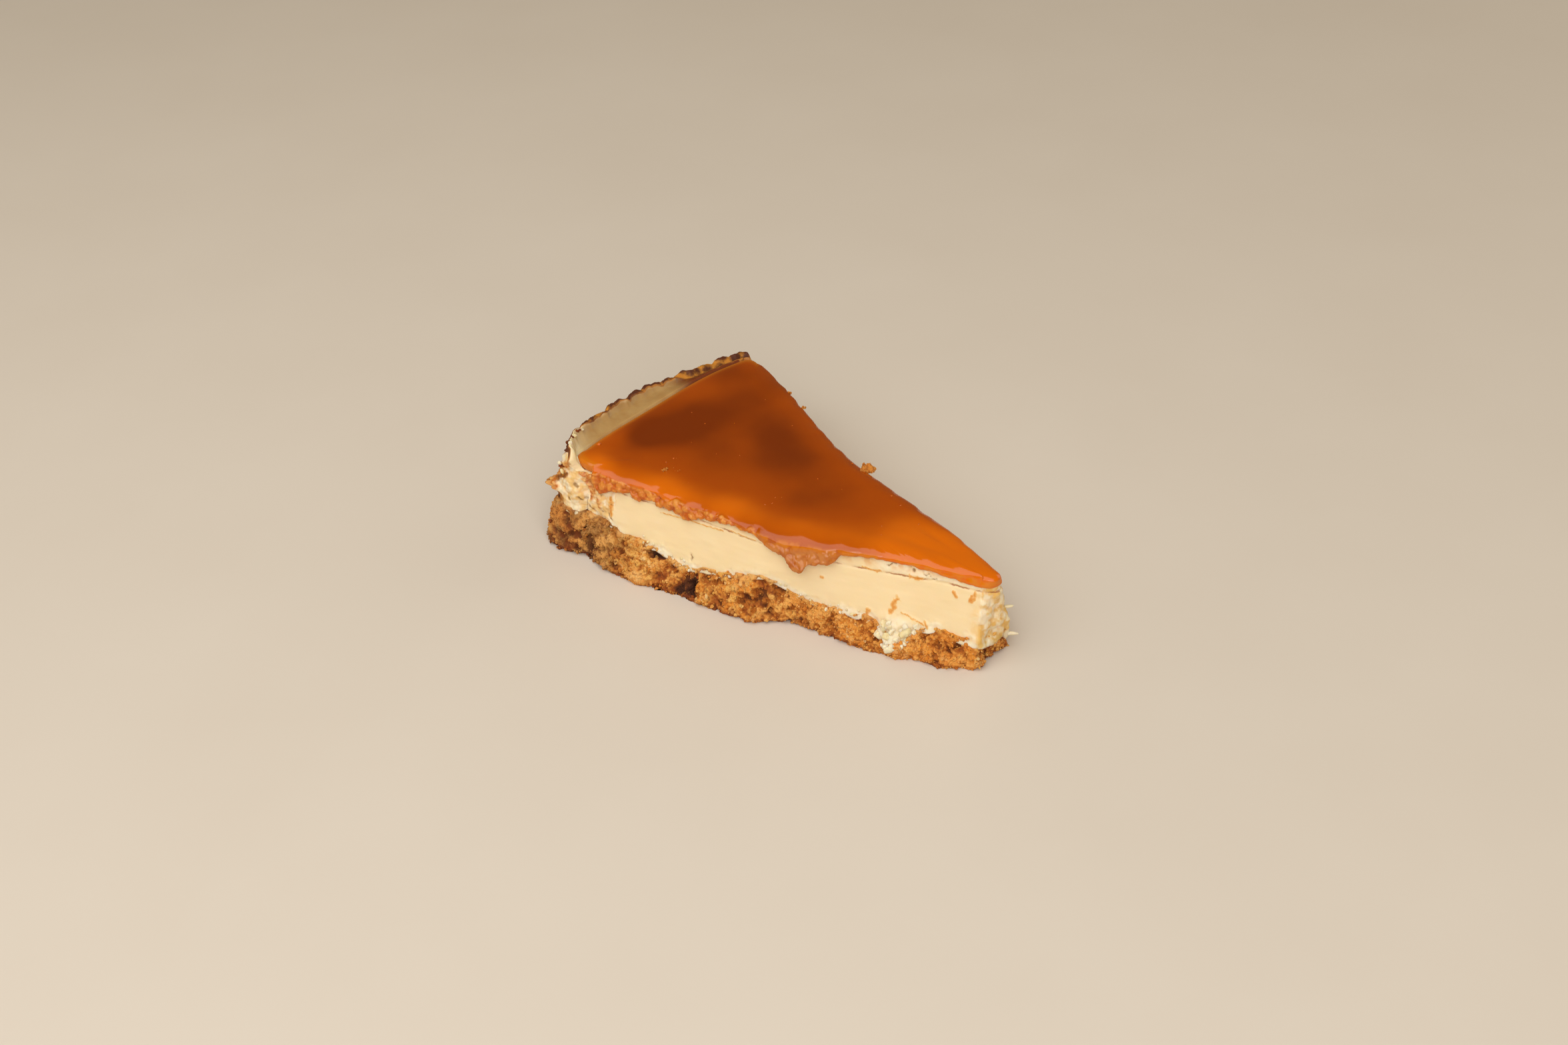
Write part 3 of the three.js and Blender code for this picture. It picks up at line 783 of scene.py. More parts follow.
column = filling_wedge(CHEESE_COLUMNS)
inlay = caramel_wedge(CHEESE_COLUMNS)
run = column.run
edge_x, edge_y = column.point.T
share = column.share
rimmed = by_stretch(
    column, near_corner=ramp(0.15, 0.5, share), rim=1, far_corner=1 - ramp(0.4, 0.8, share))
recessed = by_stretch(
    column, near_corner=ramp(0, 0.12, share), rim=1, far_corner=1 - ramp(0.88, 1, share))
rim_top = mix(RIM_TOP_NEAR, RIM_TOP_FAR, ramp(-35, 38, edge_x))
wall_top = mix(filling_top(edge_y), rim_top - RIM_EDGE_DROP, rimmed)
seam = crumb_height(column)
heaped = by_stretch(column, near=bell(run, 24.8, 4.6))
hang = hang_depth(column)
low = seam - CHEESE_DIP - hang + (0.5 + 1.3 * heaped) * lumps(edge_x, edge_y, 9, 1.9)
heap_foot = 2.4 + 1.6 * lumps(edge_x, edge_y, 9, 2.2)
low = np.maximum(mix(low, heap_foot, ramp(0.15, 0.8, heaped)), 0.9)
z = mix(low, wall_top, np.linspace(0, 1, CHEESE_ROWS)[:, None])
wall = place(column, wall_offset(column, z), z)
x, y, z = np.moveaxis(wall, -1, 0)
above_seam = z - seam
skin_height = SKIN_HEIGHT - 0.6 * ramp(13, 30, run) + 1.1 * ramp(36, 60, run)
skin_height = skin_height + 0.25 * lumps(edge_x, edge_y, 2, 5)
above_skin = z - skin_height

# Where the face is torn: at the tip, at the left corner, in the heap, over the crumb, over the skin
everywhere = np.ones_like(z)
near_tip = everywhere * by_stretch(column, near=1 - ramp(1, 7, run), nose=1, far=1 - ramp(4, 12, run))
face_run = np.cos(NEAR_ANGLE) * y - np.sin(NEAR_ANGLE) * x
near_side = everywhere * by_stretch(column, near=1, near_corner=1 - ramp(0.75, 1, share))
tear_edge = TEAR_RUN + 1.2 * lumps(0, z, 3, 3) + 1.5 * ramp(16, 12, z)
torn_left = near_side * ramp(0, 1.4, face_run - tear_edge)
torn_left = torn_left * (1 - by_stretch(column, near_corner=ramp(0.8, 1, share)))
pocket = heaped * (1 - ramp(7.5, 10.5, z + 1.2 * lumps(x, y, z, 2.2)))
curdy = 1 - ramp(0.2, 2.4, above_seam + 0.8 * lumps(x, y, z, 2.4))
curdy = curdy * ramp(-0.6, 0.2, lumps(x, y, 0, 8))
torn_top = ramp(0.0, 0.5, above_skin) * by_stretch(column, near=1 - ramp(30, 37, run), nose=1, far=0.7)
rough = np.maximum.reduce([0.7 * curdy, 0.6 * torn_top, 0.9 * near_tip, torn_left, pocket])
rough = np.clip(rough, 0, 1)

# Curds where it is torn, faint drag lines where the knife slid, then pits, strokes and crust bumps
curds = cobbles(x, y, z, CURD_SIZE)
small_curds = cobbles(x, y, 1.4 * z, SMALL_CURD_SIZE)
skew = 1.3 * lumps(x, y, z, 1.5)
holes = cobbles(x + skew, y - skew, z + skew, PORE_SIZE)
drag = 0.05 * lumps(x / 6, y / 6, z, 0.9)
relief = (0.35 * lumps(x, y, z * 1.5, 3.6) * mix(0.35, 1, rough) + drag
          + rough * (0.85 * (curds.near - 0.62) + 0.4 * (small_curds.near - 0.6)))
relief = relief + torn_left * (0.9 * lumps(x, y, z, 3.0) - 0.2) + near_tip * 0.7 * lumps(x, y, z, 2.8)
relief = relief + pocket * (0.9 + 1.2 * (curds.near - 0.55)) + tip_break(x, y, z, seam)
pores = 0.7 * torn_left * (holes.own > 0.78) * ramp(0.82, 0.97, holes.near) * (z < 21)
line_dip = 0.25 * bell(above_skin, 0, 0.3) * (1 - torn_left) * (rimmed < 0.5)
stains = strokes(STAINS, amount=0.5, size=0.9, thin=1.6)
pores = np.maximum(pores, strokes(CRACKS, amount=0.7, size=0.8))
smear = ramp(0.25, 0.6, strokes(SMEARS, amount=1.6, size=2.2))
relief = relief - 0.7 * pores - line_dip + 0.25 * stains + smear * (0.5 + 0.8 * (small_curds.near - 0.6))
on_rim_side = by_stretch(column, rim=1, near_corner=ramp(0.75, 1, share), far_corner=1)
crust_bumps = cobbles(x, y, z * 0.8, CRUST_BUMP_SIZE)
near_crest = 1 - ramp(0.6, 4.5, wall_top - z)
relief = relief + on_rim_side * (
    0.25 * lumps(x, y, z, 1.6) + near_crest * 1.5 * (crust_bumps.near - 0.5))
knob = bell(np.hypot(x - KNOB.x, y - KNOB.y), 0, KNOB.reach) * bell(z, KNOB.z, KNOB.half_height)
relief = relief + KNOB.height * knob * (0.8 + 0.5 * (small_curds.near - 0.6))
wall_rings = wall + outward(wall, 5) * relief[..., None]

# From the outer edge of the rim over its crest and down to the caramel, or flat under the caramel
steps = np.linspace(0, 1, CREST_ROWS)[1:, None] ** 1.25
outer = wall_rings[-1]
inner = place(inlay, mix(-2, -0.1, recessed), 0)[..., :2]
width = np.linalg.norm(inner - column.point, axis=1)
away = steps * width
flat = outer[:, :2] + (inner - outer[:, :2]) * steps[..., None]
crest = rounded_line(away, CAKE_CREST) + rim_top
slope = ramp(0.0, 1.0, (away - 2.6) / np.maximum(width - 3.2, 0.5))
crest = mix(crest, caramel_top(flat[..., 1]) - 0.12, slope)
crest = mix(crest, filling_top(flat[..., 1]), ramp(0.955, 1.0, steps))
crest_x, crest_y = np.moveaxis(flat, -1, 0)
over_crest = 1 - ramp(1.6, 3.4, away)
bumps_here = cobbles(crest_x, crest_y, crest * 0.8, CRUST_BUMP_SIZE)
small_bumps = cobbles(crest_x, crest_y, crest, 1.3)
crest_relief = over_crest * (1.5 * (bumps_here.near - 0.5) + 0.5 * (small_bumps.near - 0.6))
band_relief = 0.12 * lumps(crest_x, crest_y, 4, 1.5) + 0.2 * lumps(crest_x, crest_y, 7, 4)
crest_relief = crest_relief + band_relief * (1 - over_crest) * (1 - slope)
crest = mix(filling_top(crest_y), crest + crest_relief * ramp(0, 0.12, steps), rimmed)
crest_rings = np.concatenate((flat, crest[..., None]), -1)

carved = np.minimum(relief[0], 0)
below = np.stack([place(column, wall_offset(column, low) + carved - inset, low + rise)
                  for inset, rise in ((3.5, 1.2), (1.0, 0.4))])
cheese_rings = np.concatenate((below, wall_rings, crest_rings))


def stacked(under, side, over):
    """The numbers of the rings under, on and over the wall, as one array."""
    parts = ((under, len(below)), (side, len(wall_rings)), (over, len(crest_rings)))
    return np.concatenate([np.broadcast_to(part, (rows, run.size)) for part, rows in parts])


# Brown covers the crest, farther in at the far end and less far at the near end, and the rim's side
angle = np.arctan2(edge_x, edge_y)
brown_reach = 3.0 * ramp(0.10, 0.2, angle) - 1.1 * (1 - ramp(-0.22, -0.15, angle))
from_brown = away + 0.5 * lumps(crest_x, crest_y, 2, 1.4) - brown_reach
crest_brown = rimmed * (1 - ramp(1.5, 2.9, from_brown))
wall_brown = on_rim_side * (0.55 + 0.45 * near_crest)
corner_turn = by_stretch(column, -1, near_corner=share)
corner_brown = ramp(0.3, 0.7, corner_turn + 0.15 * lumps(0, z, 5, 2.5))
corner_brown = corner_brown * mix(1, 0.55 + 0.45 * near_crest, ramp(0.5, 1, corner_turn))
face_brown = np.maximum.reduce([everywhere * wall_brown, corner_brown, 0.9 * knob])
cheese_tones = {
    "brown": stacked(0, face_brown, crest_brown),
    "bumps": stacked(0, crust_bumps.near, bumps_here.near),
    "curdy": stacked(0, rough, 0),
    "pore_shade": stacked(0, pores, 0),
    "stain": stacked(0, stains, 0),
    "smear": stacked(0, smear, 0),
    "above_skin": stacked(-9, np.where(on_rim_side + torn_left > 0.3, 9, above_skin), 9),
    "yellow": stacked(0, np.maximum(near_tip, 0.8 * torn_left), 0),
    "band": stacked(0, 0, rimmed * ramp(1.2, 2.6, away)),
    "angle": stacked(angle, angle, angle),
    "charred": stacked(0, 0, 1 - ramp(-0.24, -0.17, angle)),
}

cheese = Finish("baked_cheese", Subsurface_Weight=0.35, Subsurface_Radius=(1.0, 0.7, 0.35),
                Subsurface_Scale=0.003, IOR=1.42)

# Smooth cream, white curds, yellow places at the torn ends
curdy_now = cheese.tone("curdy")
smooth_cream = cheese.mixed(cheese.cloud(14, 2), "F2D6A4", "F6E0B6")
curd_white = cheese.mixed(cheese.cloud(1.6, 3), "F2DCB2", "FBF0DA")
cheese.colour = cheese.mixed(curdy_now.ramp(0.25, 0.75) * 0.8, smooth_cream, curd_white)
cheese.coat(cheese.tone("yellow") * cheese.patches(2.6, 0.38, 0.62, 2.0) * 0.85, "E8B24A")

# The brown line of the top skin, amber seeped above it, and stains dragged over the cut
skin_gap = cheese.ragged("above_skin", 0.9, 1.7, 3, 0.6, 5.0)
skin_line = skin_gap.ramp(-0.28, -0.08) * (1 - skin_gap.ramp(0.08, 0.28))
cheese.coat(skin_line * cheese.patches(4.5, 0.36, 0.56, 8.0) * 0.8, "A65A1E")
over_skin = skin_gap.ramp(0.2, 2.6) * (1 - skin_gap.ramp(5, 6))
cheese.coat(over_skin * cheese.patches(3, 0.42, 0.66, 1.0) * 0.55, "DE963C")
stain_now = cheese.ragged("stain", 1.1, 0.9, 3, 0.6)
cheese.coat(stain_now.ramp(0.25, 0.65) * 0.9, cheese.mixed(stain_now.ramp(0.5, 1.1), "EDBB70", "D9861C"))

# The band inside the rim, pale at the near end and dark at the far end
angle_now = cheese.tone("angle")
band_brown = cheese.mixed(cheese.cloud(4, 3, 0.55), "A87A42", "C2A068")
band_pale = cheese.mixed(cheese.cloud(3, 3, 0.55), "DEC78E", "EEDFB4")
band = cheese.mixed(angle_now.ramp(-0.27, -0.16), band_pale, band_brown)
cheese.coat(cheese.tone("band"), cheese.mixed(angle_now.ramp(0.08, 0.15), band, "743410"))

# The crust: amber between dark bumps, burnt at the near end, and plain brown down the side
bump_now = cheese.ragged("bumps", 0.5, 1.1, 3, 0.6)
brown_now = cheese.ragged("brown", 0.5, 2, 3, 0.6, 6.0)
crust = cheese.mixed(bump_now.ramp(0.35, 0.75), "C98428", "5A2808")
crust = cheese.mixed(cheese.tone("charred") * 0.85, crust, "55210E")
baked_side = cheese.mixed(cheese.cloud(5, 4, 0.6).ramp(0.35, 0.65), "B97A34", "7E4314")
cheese.coat(brown_now.ramp(0.25, 0.5), cheese.mixed(brown_now.ramp(0.62, 0.85), baked_side, crust))

# Caramel smeared on the torn corner, and painted shade in the pits of its pores and in its cracks
smear_now = cheese.tone("smear")
smear_patches = cheese.cloud(1.4, 3, 0.6, 3.0).ramp(0.38, 0.62)
cheese.coat(smear_now * 0.9, cheese.mixed(smear_patches, "C46A14", "E6AA60"))
# Painted shade in the pits and cracks
cheese.coat(cheese.tone("pore_shade").ramp(0.3, 0.9) * 0.7, "8C601E")
cheese_relief = cheese.cloud(0.8, 3, 0.6) * (0.2 + curdy_now) + cheese.cloud(9, 3) * 0.3
roughness = 0.42 + curdy_now * 0.25 + cheese.tone("brown") * 0.2 - smear_now * 0.3
cheese.wear(Base_Color=cheese.colour, Roughness=roughness, Normal=cheese.bumped(cheese_relief, 0.16))

cheese_filling = shell("cheese_filling_fine", cheese_rings, cheese, "cheese", **cheese_tones)
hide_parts("cheese_filling")


# Curds and flakes
# Bits of cheese that broke away at the cut and stuck: white curds along the seam and heaped where
# the crumb is torn away, a few on the crust of the left corner, and pale slivers at the tip.
CURD_HEAP = SimpleNamespace(
    run=24.6, z=5.8, half_run=5.6, half_height=3.2, fall=0.25, count=30, sizes=(0.6, 1.6))
CURD_SEAM = SimpleNamespace(middles=(40, 48, 55, 88, 99), spread=3.4, count=50, sizes=(0.2, 0.6))
CURD_SINK = 0.12

# Single curds on the left corner: place and size
CURD_BITS = ((-36.6, 122.9, 25.6, 0.6), (-36.6, 122.0, 23.3, 0.75), (-29.1, 124.0, 30.3, 0.8),
             (-25.4, 124.9, 30.1, 0.65), (-33.0, 122.0, 30.6, 0.6))

# Slivers at the tip: both ends and thickness
SLIVERS = (((3.4, 1.5, 12.4), (5.8, -1.0, 13.1), 0.6), ((3.6, 0.2, 4.6), (6.3, -2.9, 4.3), 0.6))


def nearest_spots(grid, wanted_run, wanted_z, keep):
    """The points of some of a wall's columns nearest to wanted runs and heights, and their normals."""
    flat_grid = grid[:, keep].reshape(-1, 3)
    normals = outward(grid)[:, keep].reshape(-1, 3)
    grid_run = np.cos(NEAR_ANGLE) * flat_grid[:, 1] - np.sin(NEAR_ANGLE) * flat_grid[:, 0]
    gap = (grid_run - wanted_run[:, None]) ** 2 + (flat_grid[:, 2] - wanted_z[:, None]) ** 2
    chosen = gap.argmin(1)
    return flat_grid[chosen], normals[chosen]


# The heap fills an ellipse that falls towards the rim, and the others lie along the seam in groups
turns = dice.uniform(0, 2 * np.pi, CURD_HEAP.count)
spread = np.sqrt(dice.uniform(0, 1, CURD_HEAP.count))
heap_run = CURD_HEAP.run + CURD_HEAP.half_run * spread * np.cos(turns)
heap_z = CURD_HEAP.z + CURD_HEAP.half_height * spread * np.sin(turns)
heap_z = heap_z - CURD_HEAP.fall * (heap_run - CURD_HEAP.run)
seam_run = dice.choice(CURD_SEAM.middles, CURD_SEAM.count)
seam_run = seam_run + dice.normal(0, CURD_SEAM.spread, CURD_SEAM.count)
cheese_near = column.stretch == "near"
seam_z = np.interp(seam_run, run[cheese_near], seam[cheese_near])
seam_z = seam_z + dice.normal(0.1, 0.45, CURD_SEAM.count)
curd_run = np.concatenate((heap_run, seam_run))
curd_z = np.concatenate((heap_z, seam_z))
curd_size = np.concatenate(
    [dice.uniform(*group.sizes, group.count) for group in (CURD_HEAP, CURD_SEAM)])

# Each sits on the crumb or on the cheese, whichever has a point nearer to its height
at_crumb, crumb_out = nearest_spots(crumb_wall, curd_run, curd_z, on_near > 0)
at_cheese, cheese_out = nearest_spots(wall_rings, curd_run, curd_z, cheese_near)
closer = (np.abs(at_crumb[:, 2] - curd_z) < np.abs(at_cheese[:, 2] - curd_z))[:, None]
curd_place = np.where(closer, at_crumb, at_cheese)
curd_out = np.where(closer, crumb_out, cheese_out)
curd_place = curd_place - curd_out * (curd_size * CURD_SINK)[:, None]
bits = np.array(CURD_BITS)
sliver_ends = np.array([(start, end) for start, end, _ in SLIVERS])
sliver_size = [thickness for *_, thickness in SLIVERS]
curd_place = np.concatenate((curd_place, bits[:, :3], sliver_ends.mean(1)))
curd_size = np.concatenate((curd_size, bits[:, 3], sliver_size))

# Lumpy swelling makes them curds, and the last ones are drawn out between their ends as slivers
curd_points, curd_faces, curd_owner = pebbles(
    curd_place, curd_size, around=18, across=13, pull_range=0.08)
from_middle = curd_points - curd_place[curd_owner]
swell = sum(
    amount * lumps(*curd_points.T, size) for amount, size in ((0.5, 1.2), (0.3, 0.6), (0.12, 0.3)))
curd_points = curd_points + from_middle * swell[:, None]
half_sliver = np.zeros((len(curd_size), 3))
half_sliver[-len(SLIVERS):] = (sliver_ends[:, 1] - sliver_ends[:, 0]) / 2
sliver_way = half_sliver / np.maximum(np.linalg.norm(half_sliver, axis=1), 1e-9)[:, None]
share_along = (from_middle * sliver_way[curd_owner]).sum(1) / curd_size[curd_owner]
curd_points = curd_points + share_along[:, None] * half_sliver[curd_owner]
curd_points[:, 2] = np.maximum(curd_points[:, 2], 0)
curd_tint = dice.uniform(0, 1, len(curd_size))

curd = Finish("broken_curds", Roughness=0.55, Subsurface_Weight=0.35, Subsurface_Radius=(1.0, 0.7, 0.35),
              Subsurface_Scale=0.002, IOR=1.42)
curd.colour = curd.mixed(curd.tone("tint").ramp(0.0, 0.8), "F3DCA8", "F9E9C8")
curd.coat(curd.cloud(1.2, 3, 0.6).ramp(0.6, 0.75) * 0.5, "D9A860")
curd.wear(Base_Color=curd.colour, Normal=curd.bumped(curd.cloud(0.5, 3, 0.6), 0.12))
piece("loose_curds", curd_points, curd_faces, curd, "cheese", tint=curd_tint[curd_owner])


# Caramel topping
# Soft caramel poured over the cold filling. The knife dragged it over the near cut, where it hangs
# as a lap: a smooth bead towards the tip, thick lobes and a drip, then torn and grainy to the rim.
CARAMEL_COLUMNS = {"near": 540, "near_corner": 36, "rim": 150, "far_corner": 20, "far": 290, "nose": 60}
FACE_ROWS = 22
SHOULDER_ROWS = 18
TOP_RINGS = 24
LAP_THICKNESS = 1.2
SHOULDER_REACH = 4.6
RAGGED_EDGE_SIZE = 3.1
GRAIN_SIZE = 1.7
FINE_GRAIN_SIZE = 0.85

# The edge along the rim, from under it, over its outside and onto the top: offset and share of rise
RIM_EDGE = ((-0.15, 0), (-0.1, 0.1), (-0.06, 0.2), (-0.03, 0.35), (0, 0.5), (-0.1, 0.7),
            (-0.5, 0.88), (-1.4, 0.97), (-3.2, 1))

# How far the lap hangs below the caramel's top, by the run along the near cut
LAP_DROPS = (
    (3, 3.7), (8, 3.7), (15, 3.0), (24, 2.8), (38, 2.8), (42.4, 3.2), (43.4, 5.6), (45, 6.0), (48, 6.6),
    (50, 7.4), (51.6, 9.2), (53, 9.4), (54.6, 8.4), (56.4, 6.4), (59.6, 5.5), (63.7, 4.0), (67.5, 2.7),
    (72, 2.4), (78, 2.8), (82, 3.6), (86, 5.3), (89, 5.8), (92, 5.2), (95, 4.4), (100, 4.5), (103, 5.2),
    (106, 4.2), (109, 4.7), (112, 5.4), (114.5, 7.4), (116.5, 7.0), (118, 3.5), (118.5, 2.8),
)

# Darker (above 0) and brighter (below 0) places of the caramel: x, y, width and strength
CARAMEL_SHADES = (
    (-14, 114, 8, 0.9), (-5, 109, 10, 0.8), (6, 107, 10, 0.7), (24, 104, 11, 0.6), (5, 76, 11, 0.9),
    (-1, 57, 11, 0.5), (-8, 92, 10, 0.35), (-28, 92, 8, -0.45), (-22, 72, 6, -0.2), (4, 44, 6, -0.1),
    (1, 33, 7, -0.45), (-1, 20, 11, -1.1), (-1, 7, 9, -0.8), (14, 92, 10, 0.5), (-31, 113, 5, -0.4),
    (26, 118, 7, 0.5), (-19, 119, 6, -0.5), (10, 84, 7, 0.3), (-8, 60, 8, 0.15),
)

column = caramel_wedge(CARAMEL_COLUMNS)
run = column.run
edge_x, edge_y = column.point.T
level = caramel_top(edge_y)
under = filling_top(edge_y) + LAYER_GAP
inlaid = by_stretch(column, 1, near=ramp(117.2, 118.5, run), far=ramp(119.5, 121.5, run), nose=0)
torn = by_stretch(column, near=ramp(60, 70, run), near_corner=1 - column.share)
lobes = by_stretch(column, near=ramp(42, 46, run) * (1 - ramp(57, 66, run)))
near_shoulder = 1.3 + 1.9 * bell(run, 54, 12) + 0.5 * bell(run, 30, 10) + 0.5 * lumps(run, 0, 0, 6)
near_waver = 0.45 * lumps(run, 3, 0, 4.5) * (1 - ramp(34, 44, run))
shoulder_drop = by_stretch(column, 1.6, near=near_shoulder)
shoulder_drop = shoulder_drop * (
    1 + 0.15 * lumps(edge_x, edge_y, 4, 5) + by_stretch(column, near=near_waver))
far_lap = 3.0 + 0.5 * lumps(edge_x, edge_y, 0, RAGGED_EDGE_SIZE)
lap_depth = by_stretch(column, near=rounded_line(run, LAP_DROPS), far=far_lap, nose=3.7)
ragged = 0.30 * lumps(edge_x, edge_y, 2, 1.5) + mix(0.1, 0.5, torn) * lumps(edge_x, edge_y, 6, 0.8)
lap_end = np.minimum(under - 0.2, level - lap_depth + ragged * (1 - inlaid))
thick = LAP_THICKNESS * mix(0.55, 1, ramp(10, 45, edge_y))
thick = thick + 0.3 * lumps(edge_x, edge_y, 5, RAGGED_EDGE_SIZE)
drip = by_stretch(column, near=bell(run, 52.6, 2.2))

face = np.linspace(0, 1, FACE_ROWS)[:, None] ** 1.2
shoulder_drop = np.minimum(shoulder_drop, level - lap_end - 0.5)
face_z = mix(lap_end, level - shoulder_drop, face)
above_end = np.maximum(face_z - lap_end, 0)
rounded = np.sqrt(np.clip(1 - (1 - np.clip(above_end / 1.0, 0, 1)) ** 2, 0, 1))
bulb = lobes * 0.7 * bell(above_end, 1.7, 1.5) + drip * 0.9 * bell(above_end, 1.2, 1.2)
face_offset = LAYER_GAP + wall_offset(column, face_z)
face_offset = face_offset + (thick + 0.5 * lobes + bulb) * mix(0.1, 1, rounded)
swing = np.linspace(0, np.pi / 2, SHOULDER_ROWS)[1:, None]
shoulder_offset = -SHOULDER_REACH + (SHOULDER_REACH + face_offset[-1]) * np.cos(swing)
shoulder_z = level - shoulder_drop * (1 - np.sin(swing))
lap_back = wall_offset(column, lap_end) - 0.3
cut_offset = np.concatenate((np.full((1, run.size), -0.5), [lap_back], face_offset, shoulder_offset))
cut_z = np.concatenate(([under], [lap_end + 0.1], face_z, shoulder_z))
edge_step = np.concatenate(([0, 1], mix(2, 5, face[:, 0]), mix(5, 8, swing[:, 0] / (np.pi / 2))))
rim_offset, rim_rise = [
    np.interp(edge_step[:, None], range(len(RIM_EDGE)), values) for values in zip(*RIM_EDGE)]
rim_z = mix(under, level, rim_rise)
side = place(column, mix(cut_offset, rim_offset, inlaid), mix(cut_z, rim_z, inlaid))

x, y, z = np.moveaxis(side, -1, 0)
from_top = level - z
on_face = ramp(0.6, 1.5, from_top / shoulder_drop) * (1 - inlaid)
wander = 0.9 * lumps(x, y, z, 2.4)
torn_face = np.clip(torn * ramp(0.9, 1.9, from_top + wander) * (1 - inlaid), 0, 1)
lobe_face = lobes * on_face
grain = cobbles(x, y, z, GRAIN_SIZE)
coarse = grain.near - 0.6
fine = cobbles(x, y, z, FINE_GRAIN_SIZE).near - 0.6
relief = (torn_face * (0.7 * coarse + 0.5 * fine + 0.6 * lumps(x, y, z, 3.4))
          + lobe_face * (0.6 * lumps(x, y, z, 2.4) + 0.6 * coarse + 0.35 * fine)
          + 0.15 * on_face * lumps(x, y, z, 1.6)
          + 0.22 * ramp(0.05, 0.5, from_top) * (1 - inlaid) * lumps(x, y, 2, 3.6))
relief[:2] = 0
side = side + outward(side) * relief[..., None]

shares = (np.linspace(0, 1, TOP_RINGS + 1)[1:] ** 1.15 * 0.985)[:, None, None]
top_flat = mix(side[-1][:, :2], MIDDLE, shares)
top_x, top_y = np.moveaxis(top_flat, -1, 0)
waves = 0.15 * lumps(top_x, top_y, 0, 15) + 0.03 * lumps(top_x, top_y, 3, 5)
top_z = mix(side[-1][:, 2], caramel_top(top_y) + waves, ramp(0, 0.15, shares[..., 0]))
top = np.concatenate((top_flat, top_z[..., None]), -1)
caramel_rings = np.concatenate((place(column, -2.5, under)[None], side, top))

shade = np.zeros(caramel_rings.shape[:2])
for shade_x, shade_y, size, strength in CARAMEL_SHADES:
    away = np.hypot(caramel_rings[..., 0] - shade_x, (caramel_rings[..., 1] - shade_y) * 1.1)
    shade = shade + strength * bell(away, 0, size)
inward = np.cos(NEAR_ANGLE) * caramel_rings[..., 0] + np.sin(NEAR_ANGLE) * caramel_rings[..., 1]
shade = shade - 0.5 * bell(inward, 0, 6)


def over_sides(values):
    """The numbers of the caramel's sides, with none on the ring under them and on its top."""
    return np.concatenate((np.zeros((1, run.size)), values, np.zeros((TOP_RINGS, run.size))))


rim_thin = inlaid * (1 - ramp(6.2, 7.6, edge_step[:, None]))
caramel_tones = {
    "shade": shade,
    "torn": over_sides(torn_face),
    "lobe": over_sides(lobe_face),
    "bead": over_sides(ramp(1.1, 2.0, from_top) * (1 - inlaid) * (1 - torn_face)),
    "thin": over_sides(rim_thin),
    "grain": over_sides(grain.near),
}

caramel = Finish("poured_caramel", IOR=1.47, Subsurface_Weight=0.12,
                 Subsurface_Radius=(1.0, 0.35, 0.05), Subsurface_Scale=0.002)

# Amber, darker or brighter in places, with thin gold at the rim and along the bead
shade_now = caramel.ragged("shade", 0.7, 18)
caramel.colour = caramel.mixed(shade_now.ramp(-0.15, 0.95), "AE4A00", "7C2E00")
caramel.coat(1 - shade_now.ramp(-0.9, 0.0), "DD6C04")
caramel.coat(caramel.tone("thin") * 0.6, "D07C14")
caramel.coat(caramel.tone("bead") * caramel.patches(2.5, 0.32, 0.6, 4.0) * 0.7, "DC8210")

# Milky lobes with patches of painted highlight, then the grainy torn lap with painted shade between its
# grains
torn_now = caramel.tone("torn")
lobe_now = caramel.tone("lobe")
caramel.coat(lobe_now * 0.8, "B4601C")
# Paler patches on the lobes: a painted highlight
caramel.coat(lobe_now * caramel.patches(2.2, 0.30, 0.6, 5.0) * 0.6, "D28A48")
grain_now = caramel.ragged("grain", 1.4, 1.6, 4, 0.65, 3.0)
torn_colour = caramel.mixed(grain_now.ramp(0.45, 1.0), "C25C08", "E29238")
torn_colour = caramel.mixed(caramel.patches(5, 0.45, 0.65, 9.0) * 0.7, torn_colour, "CC6E14")
# Painted shade in the gaps between the lap's grains
torn_colour = caramel.mixed((1 - grain_now.ramp(0.0, 0.3)) * 0.7, torn_colour, "8A3C06")
caramel.coat(caramel.ragged("torn", 0.7, 1.4, 3, 0.6).ramp(0.3, 0.7), torn_colour)
caramel_relief = caramel.cloud(0.8, 3, 0.6) * (torn_now + lobe_now * 0.4) + caramel.cloud(5, 2) * 0.10
caramel.wear(Base_Color=caramel.colour, Roughness=0.13 + torn_now * 0.2 + lobe_now * 0.12,
             Normal=caramel.bumped(caramel_relief, 0.2))

caramel_topping = shell("caramel_topping_fine", caramel_rings, caramel, "caramel", **caramel_tones)
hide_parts("caramel_topping")


# Bits on the caramel
# Small bubbles that set in the caramel as it cooled, a flake of crumb dropped on it, crumbs that the
# knife pulled up along the far edge, and dark flakes of crust broken at the rim's left end.
BUBBLES = SimpleNamespace(count=26, half_angle=0.26, reach=118, sizes=(0.16, 0.34), sink=0.25)

# The one large bubble, at the edge along the rim
EDGE_BUBBLE = SimpleNamespace(x=-25.0, y=119.2, size=0.9)

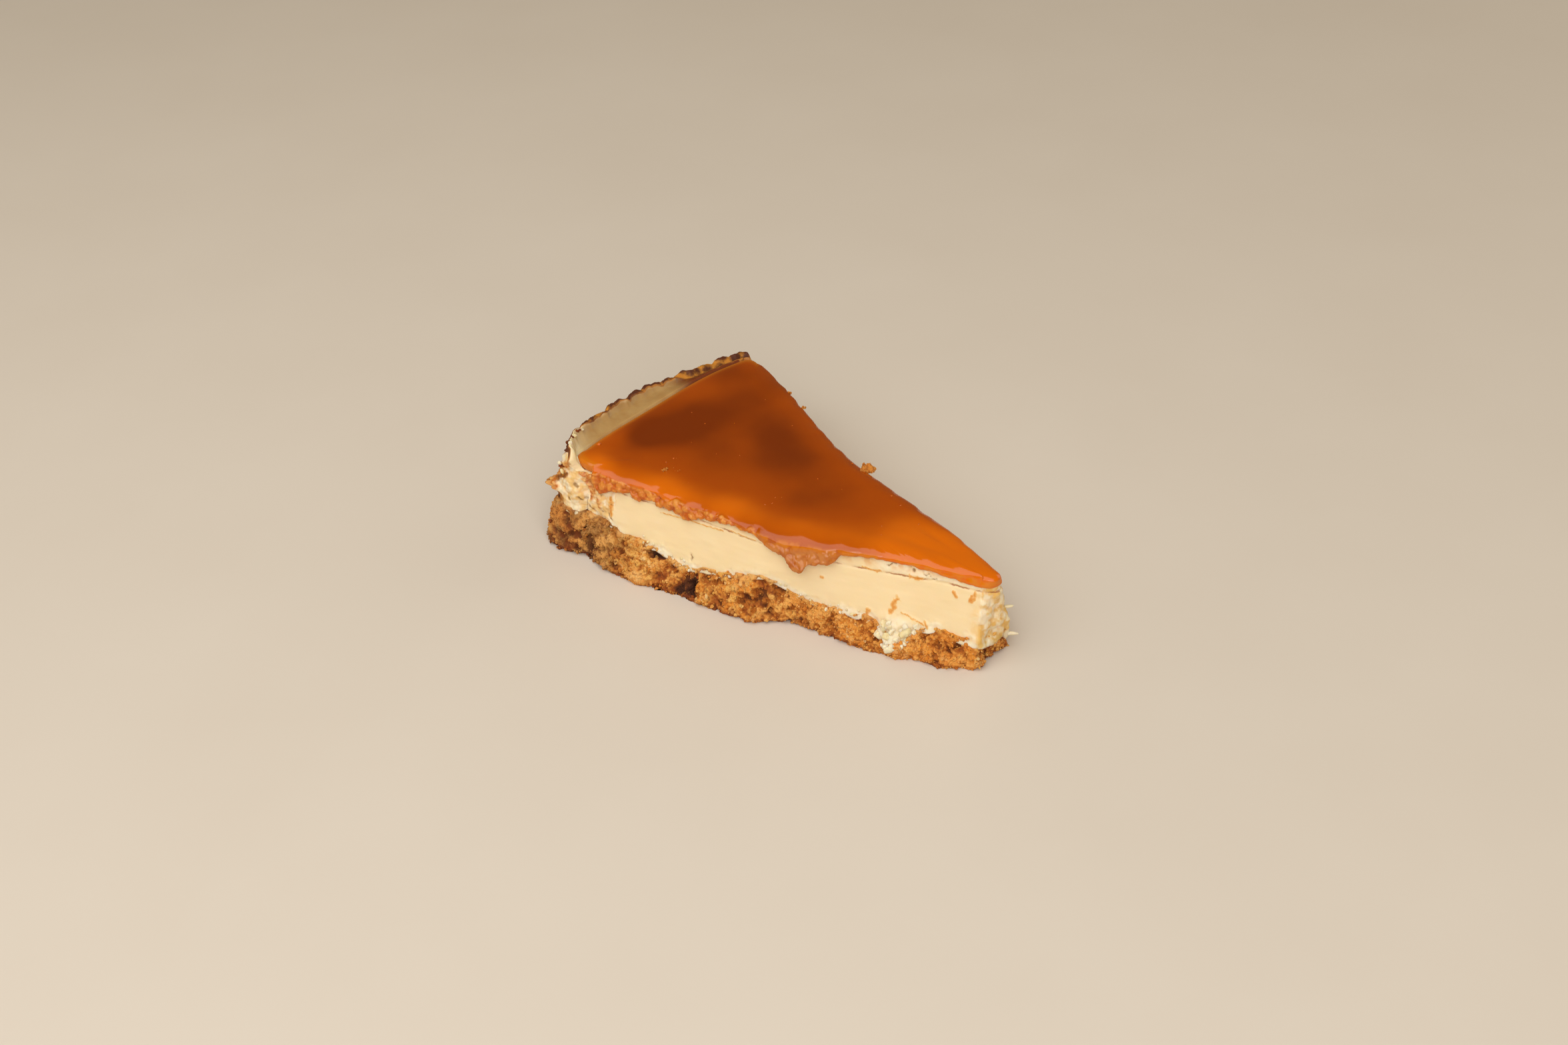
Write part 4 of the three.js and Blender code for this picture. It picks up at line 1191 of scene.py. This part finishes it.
# Stuck crumbs: x, y and z of the middle, reach of the group, size, count and how pale they are
STUCK_CRUMBS = (
    (-21.6, 97.4, 26.5, 0.55, 0.5, 7, 0.55), (-19.6, 94.6, 26.4, 0.9, 0.16, 5, 0.55),
    (16.9, 57.2, 24.7, 1.3, 0.95, 14, 0.55), (29.0, 91.1, 24.8, 0.5, 0.6, 4, 0.55),
    (32.0, 98.8, 25.4, 0.4, 0.45, 3, 0.55), (-34.0, 122.2, 28.9, 0.55, 0.6, 10, -0.1),
    (-32.3, 123.0, 30.2, 0.6, 0.5, 10, 0.0), (-29.2, 124.6, 30.0, 0.6, 0.5, 10, -0.1),
    (-26.6, 125.7, 29.8, 0.5, 0.4, 8, 0.1), (-35.9, 122.6, 24.4, 0.5, 0.45, 8, 0.1),
)

spot_angle = dice.uniform(-BUBBLES.half_angle, BUBBLES.half_angle, BUBBLES.count)
spot_run = BUBBLES.reach * np.sqrt(dice.uniform(0.05, 0.9, BUBBLES.count))
bubble_x = np.append(np.sin(spot_angle) * spot_run, EDGE_BUBBLE.x)
bubble_y = np.append(np.cos(spot_angle) * spot_run, EDGE_BUBBLE.y)
bubble_size = np.append(dice.uniform(*BUBBLES.sizes, BUBBLES.count), EDGE_BUBBLE.size)
top_points = caramel_rings[-TOP_RINGS:].reshape(-1, 3)
gap_x = top_points[:, 0] - bubble_x[:, None]
gap_y = top_points[:, 1] - bubble_y[:, None]
top_z = top_points[(gap_x ** 2 + gap_y ** 2).argmin(1), 2]
bubble_place = np.stack((bubble_x, bubble_y, top_z - BUBBLES.sink * bubble_size), -1)
bubble_points, bubble_faces, _ = pebbles(
    bubble_place, bubble_size, around=12, across=7, pull_range=0.01)
bubble_shade = np.full(len(bubble_points), -0.5)
piece("caramel_bubbles", bubble_points, bubble_faces, caramel, "caramel", shade=bubble_shade)

stuck_place = []
stuck_size = []
stuck_proud = []
for stuck_x, stuck_y, stuck_z, reach, size, count, pale in STUCK_CRUMBS:
    moved = dice.normal(0, reach * 0.6, (count, 3)) * (1, 1, 0.5)
    stuck_place.append(moved + (stuck_x, stuck_y, stuck_z))
    stuck_size.append(size * dice.uniform(0.6, 1.2, count))
    stuck_proud.append(np.full(count, pale))
stuck_points, stuck_faces, stuck_owner = pebbles(
    np.concatenate(stuck_place), np.concatenate(stuck_size), around=7, across=5, pull_range=0.25)
stuck_tones = {tone: np.full(len(stuck_points), value)
               for tone, value in (("tint", 0.4), ("toast", 0.5), ("fine_gap_shading", 0.8))}
piece("stuck_crumbs", stuck_points, stuck_faces, crumb, "crumb", smooth=False,
      proud=np.concatenate(stuck_proud)[stuck_owner], **stuck_tones)
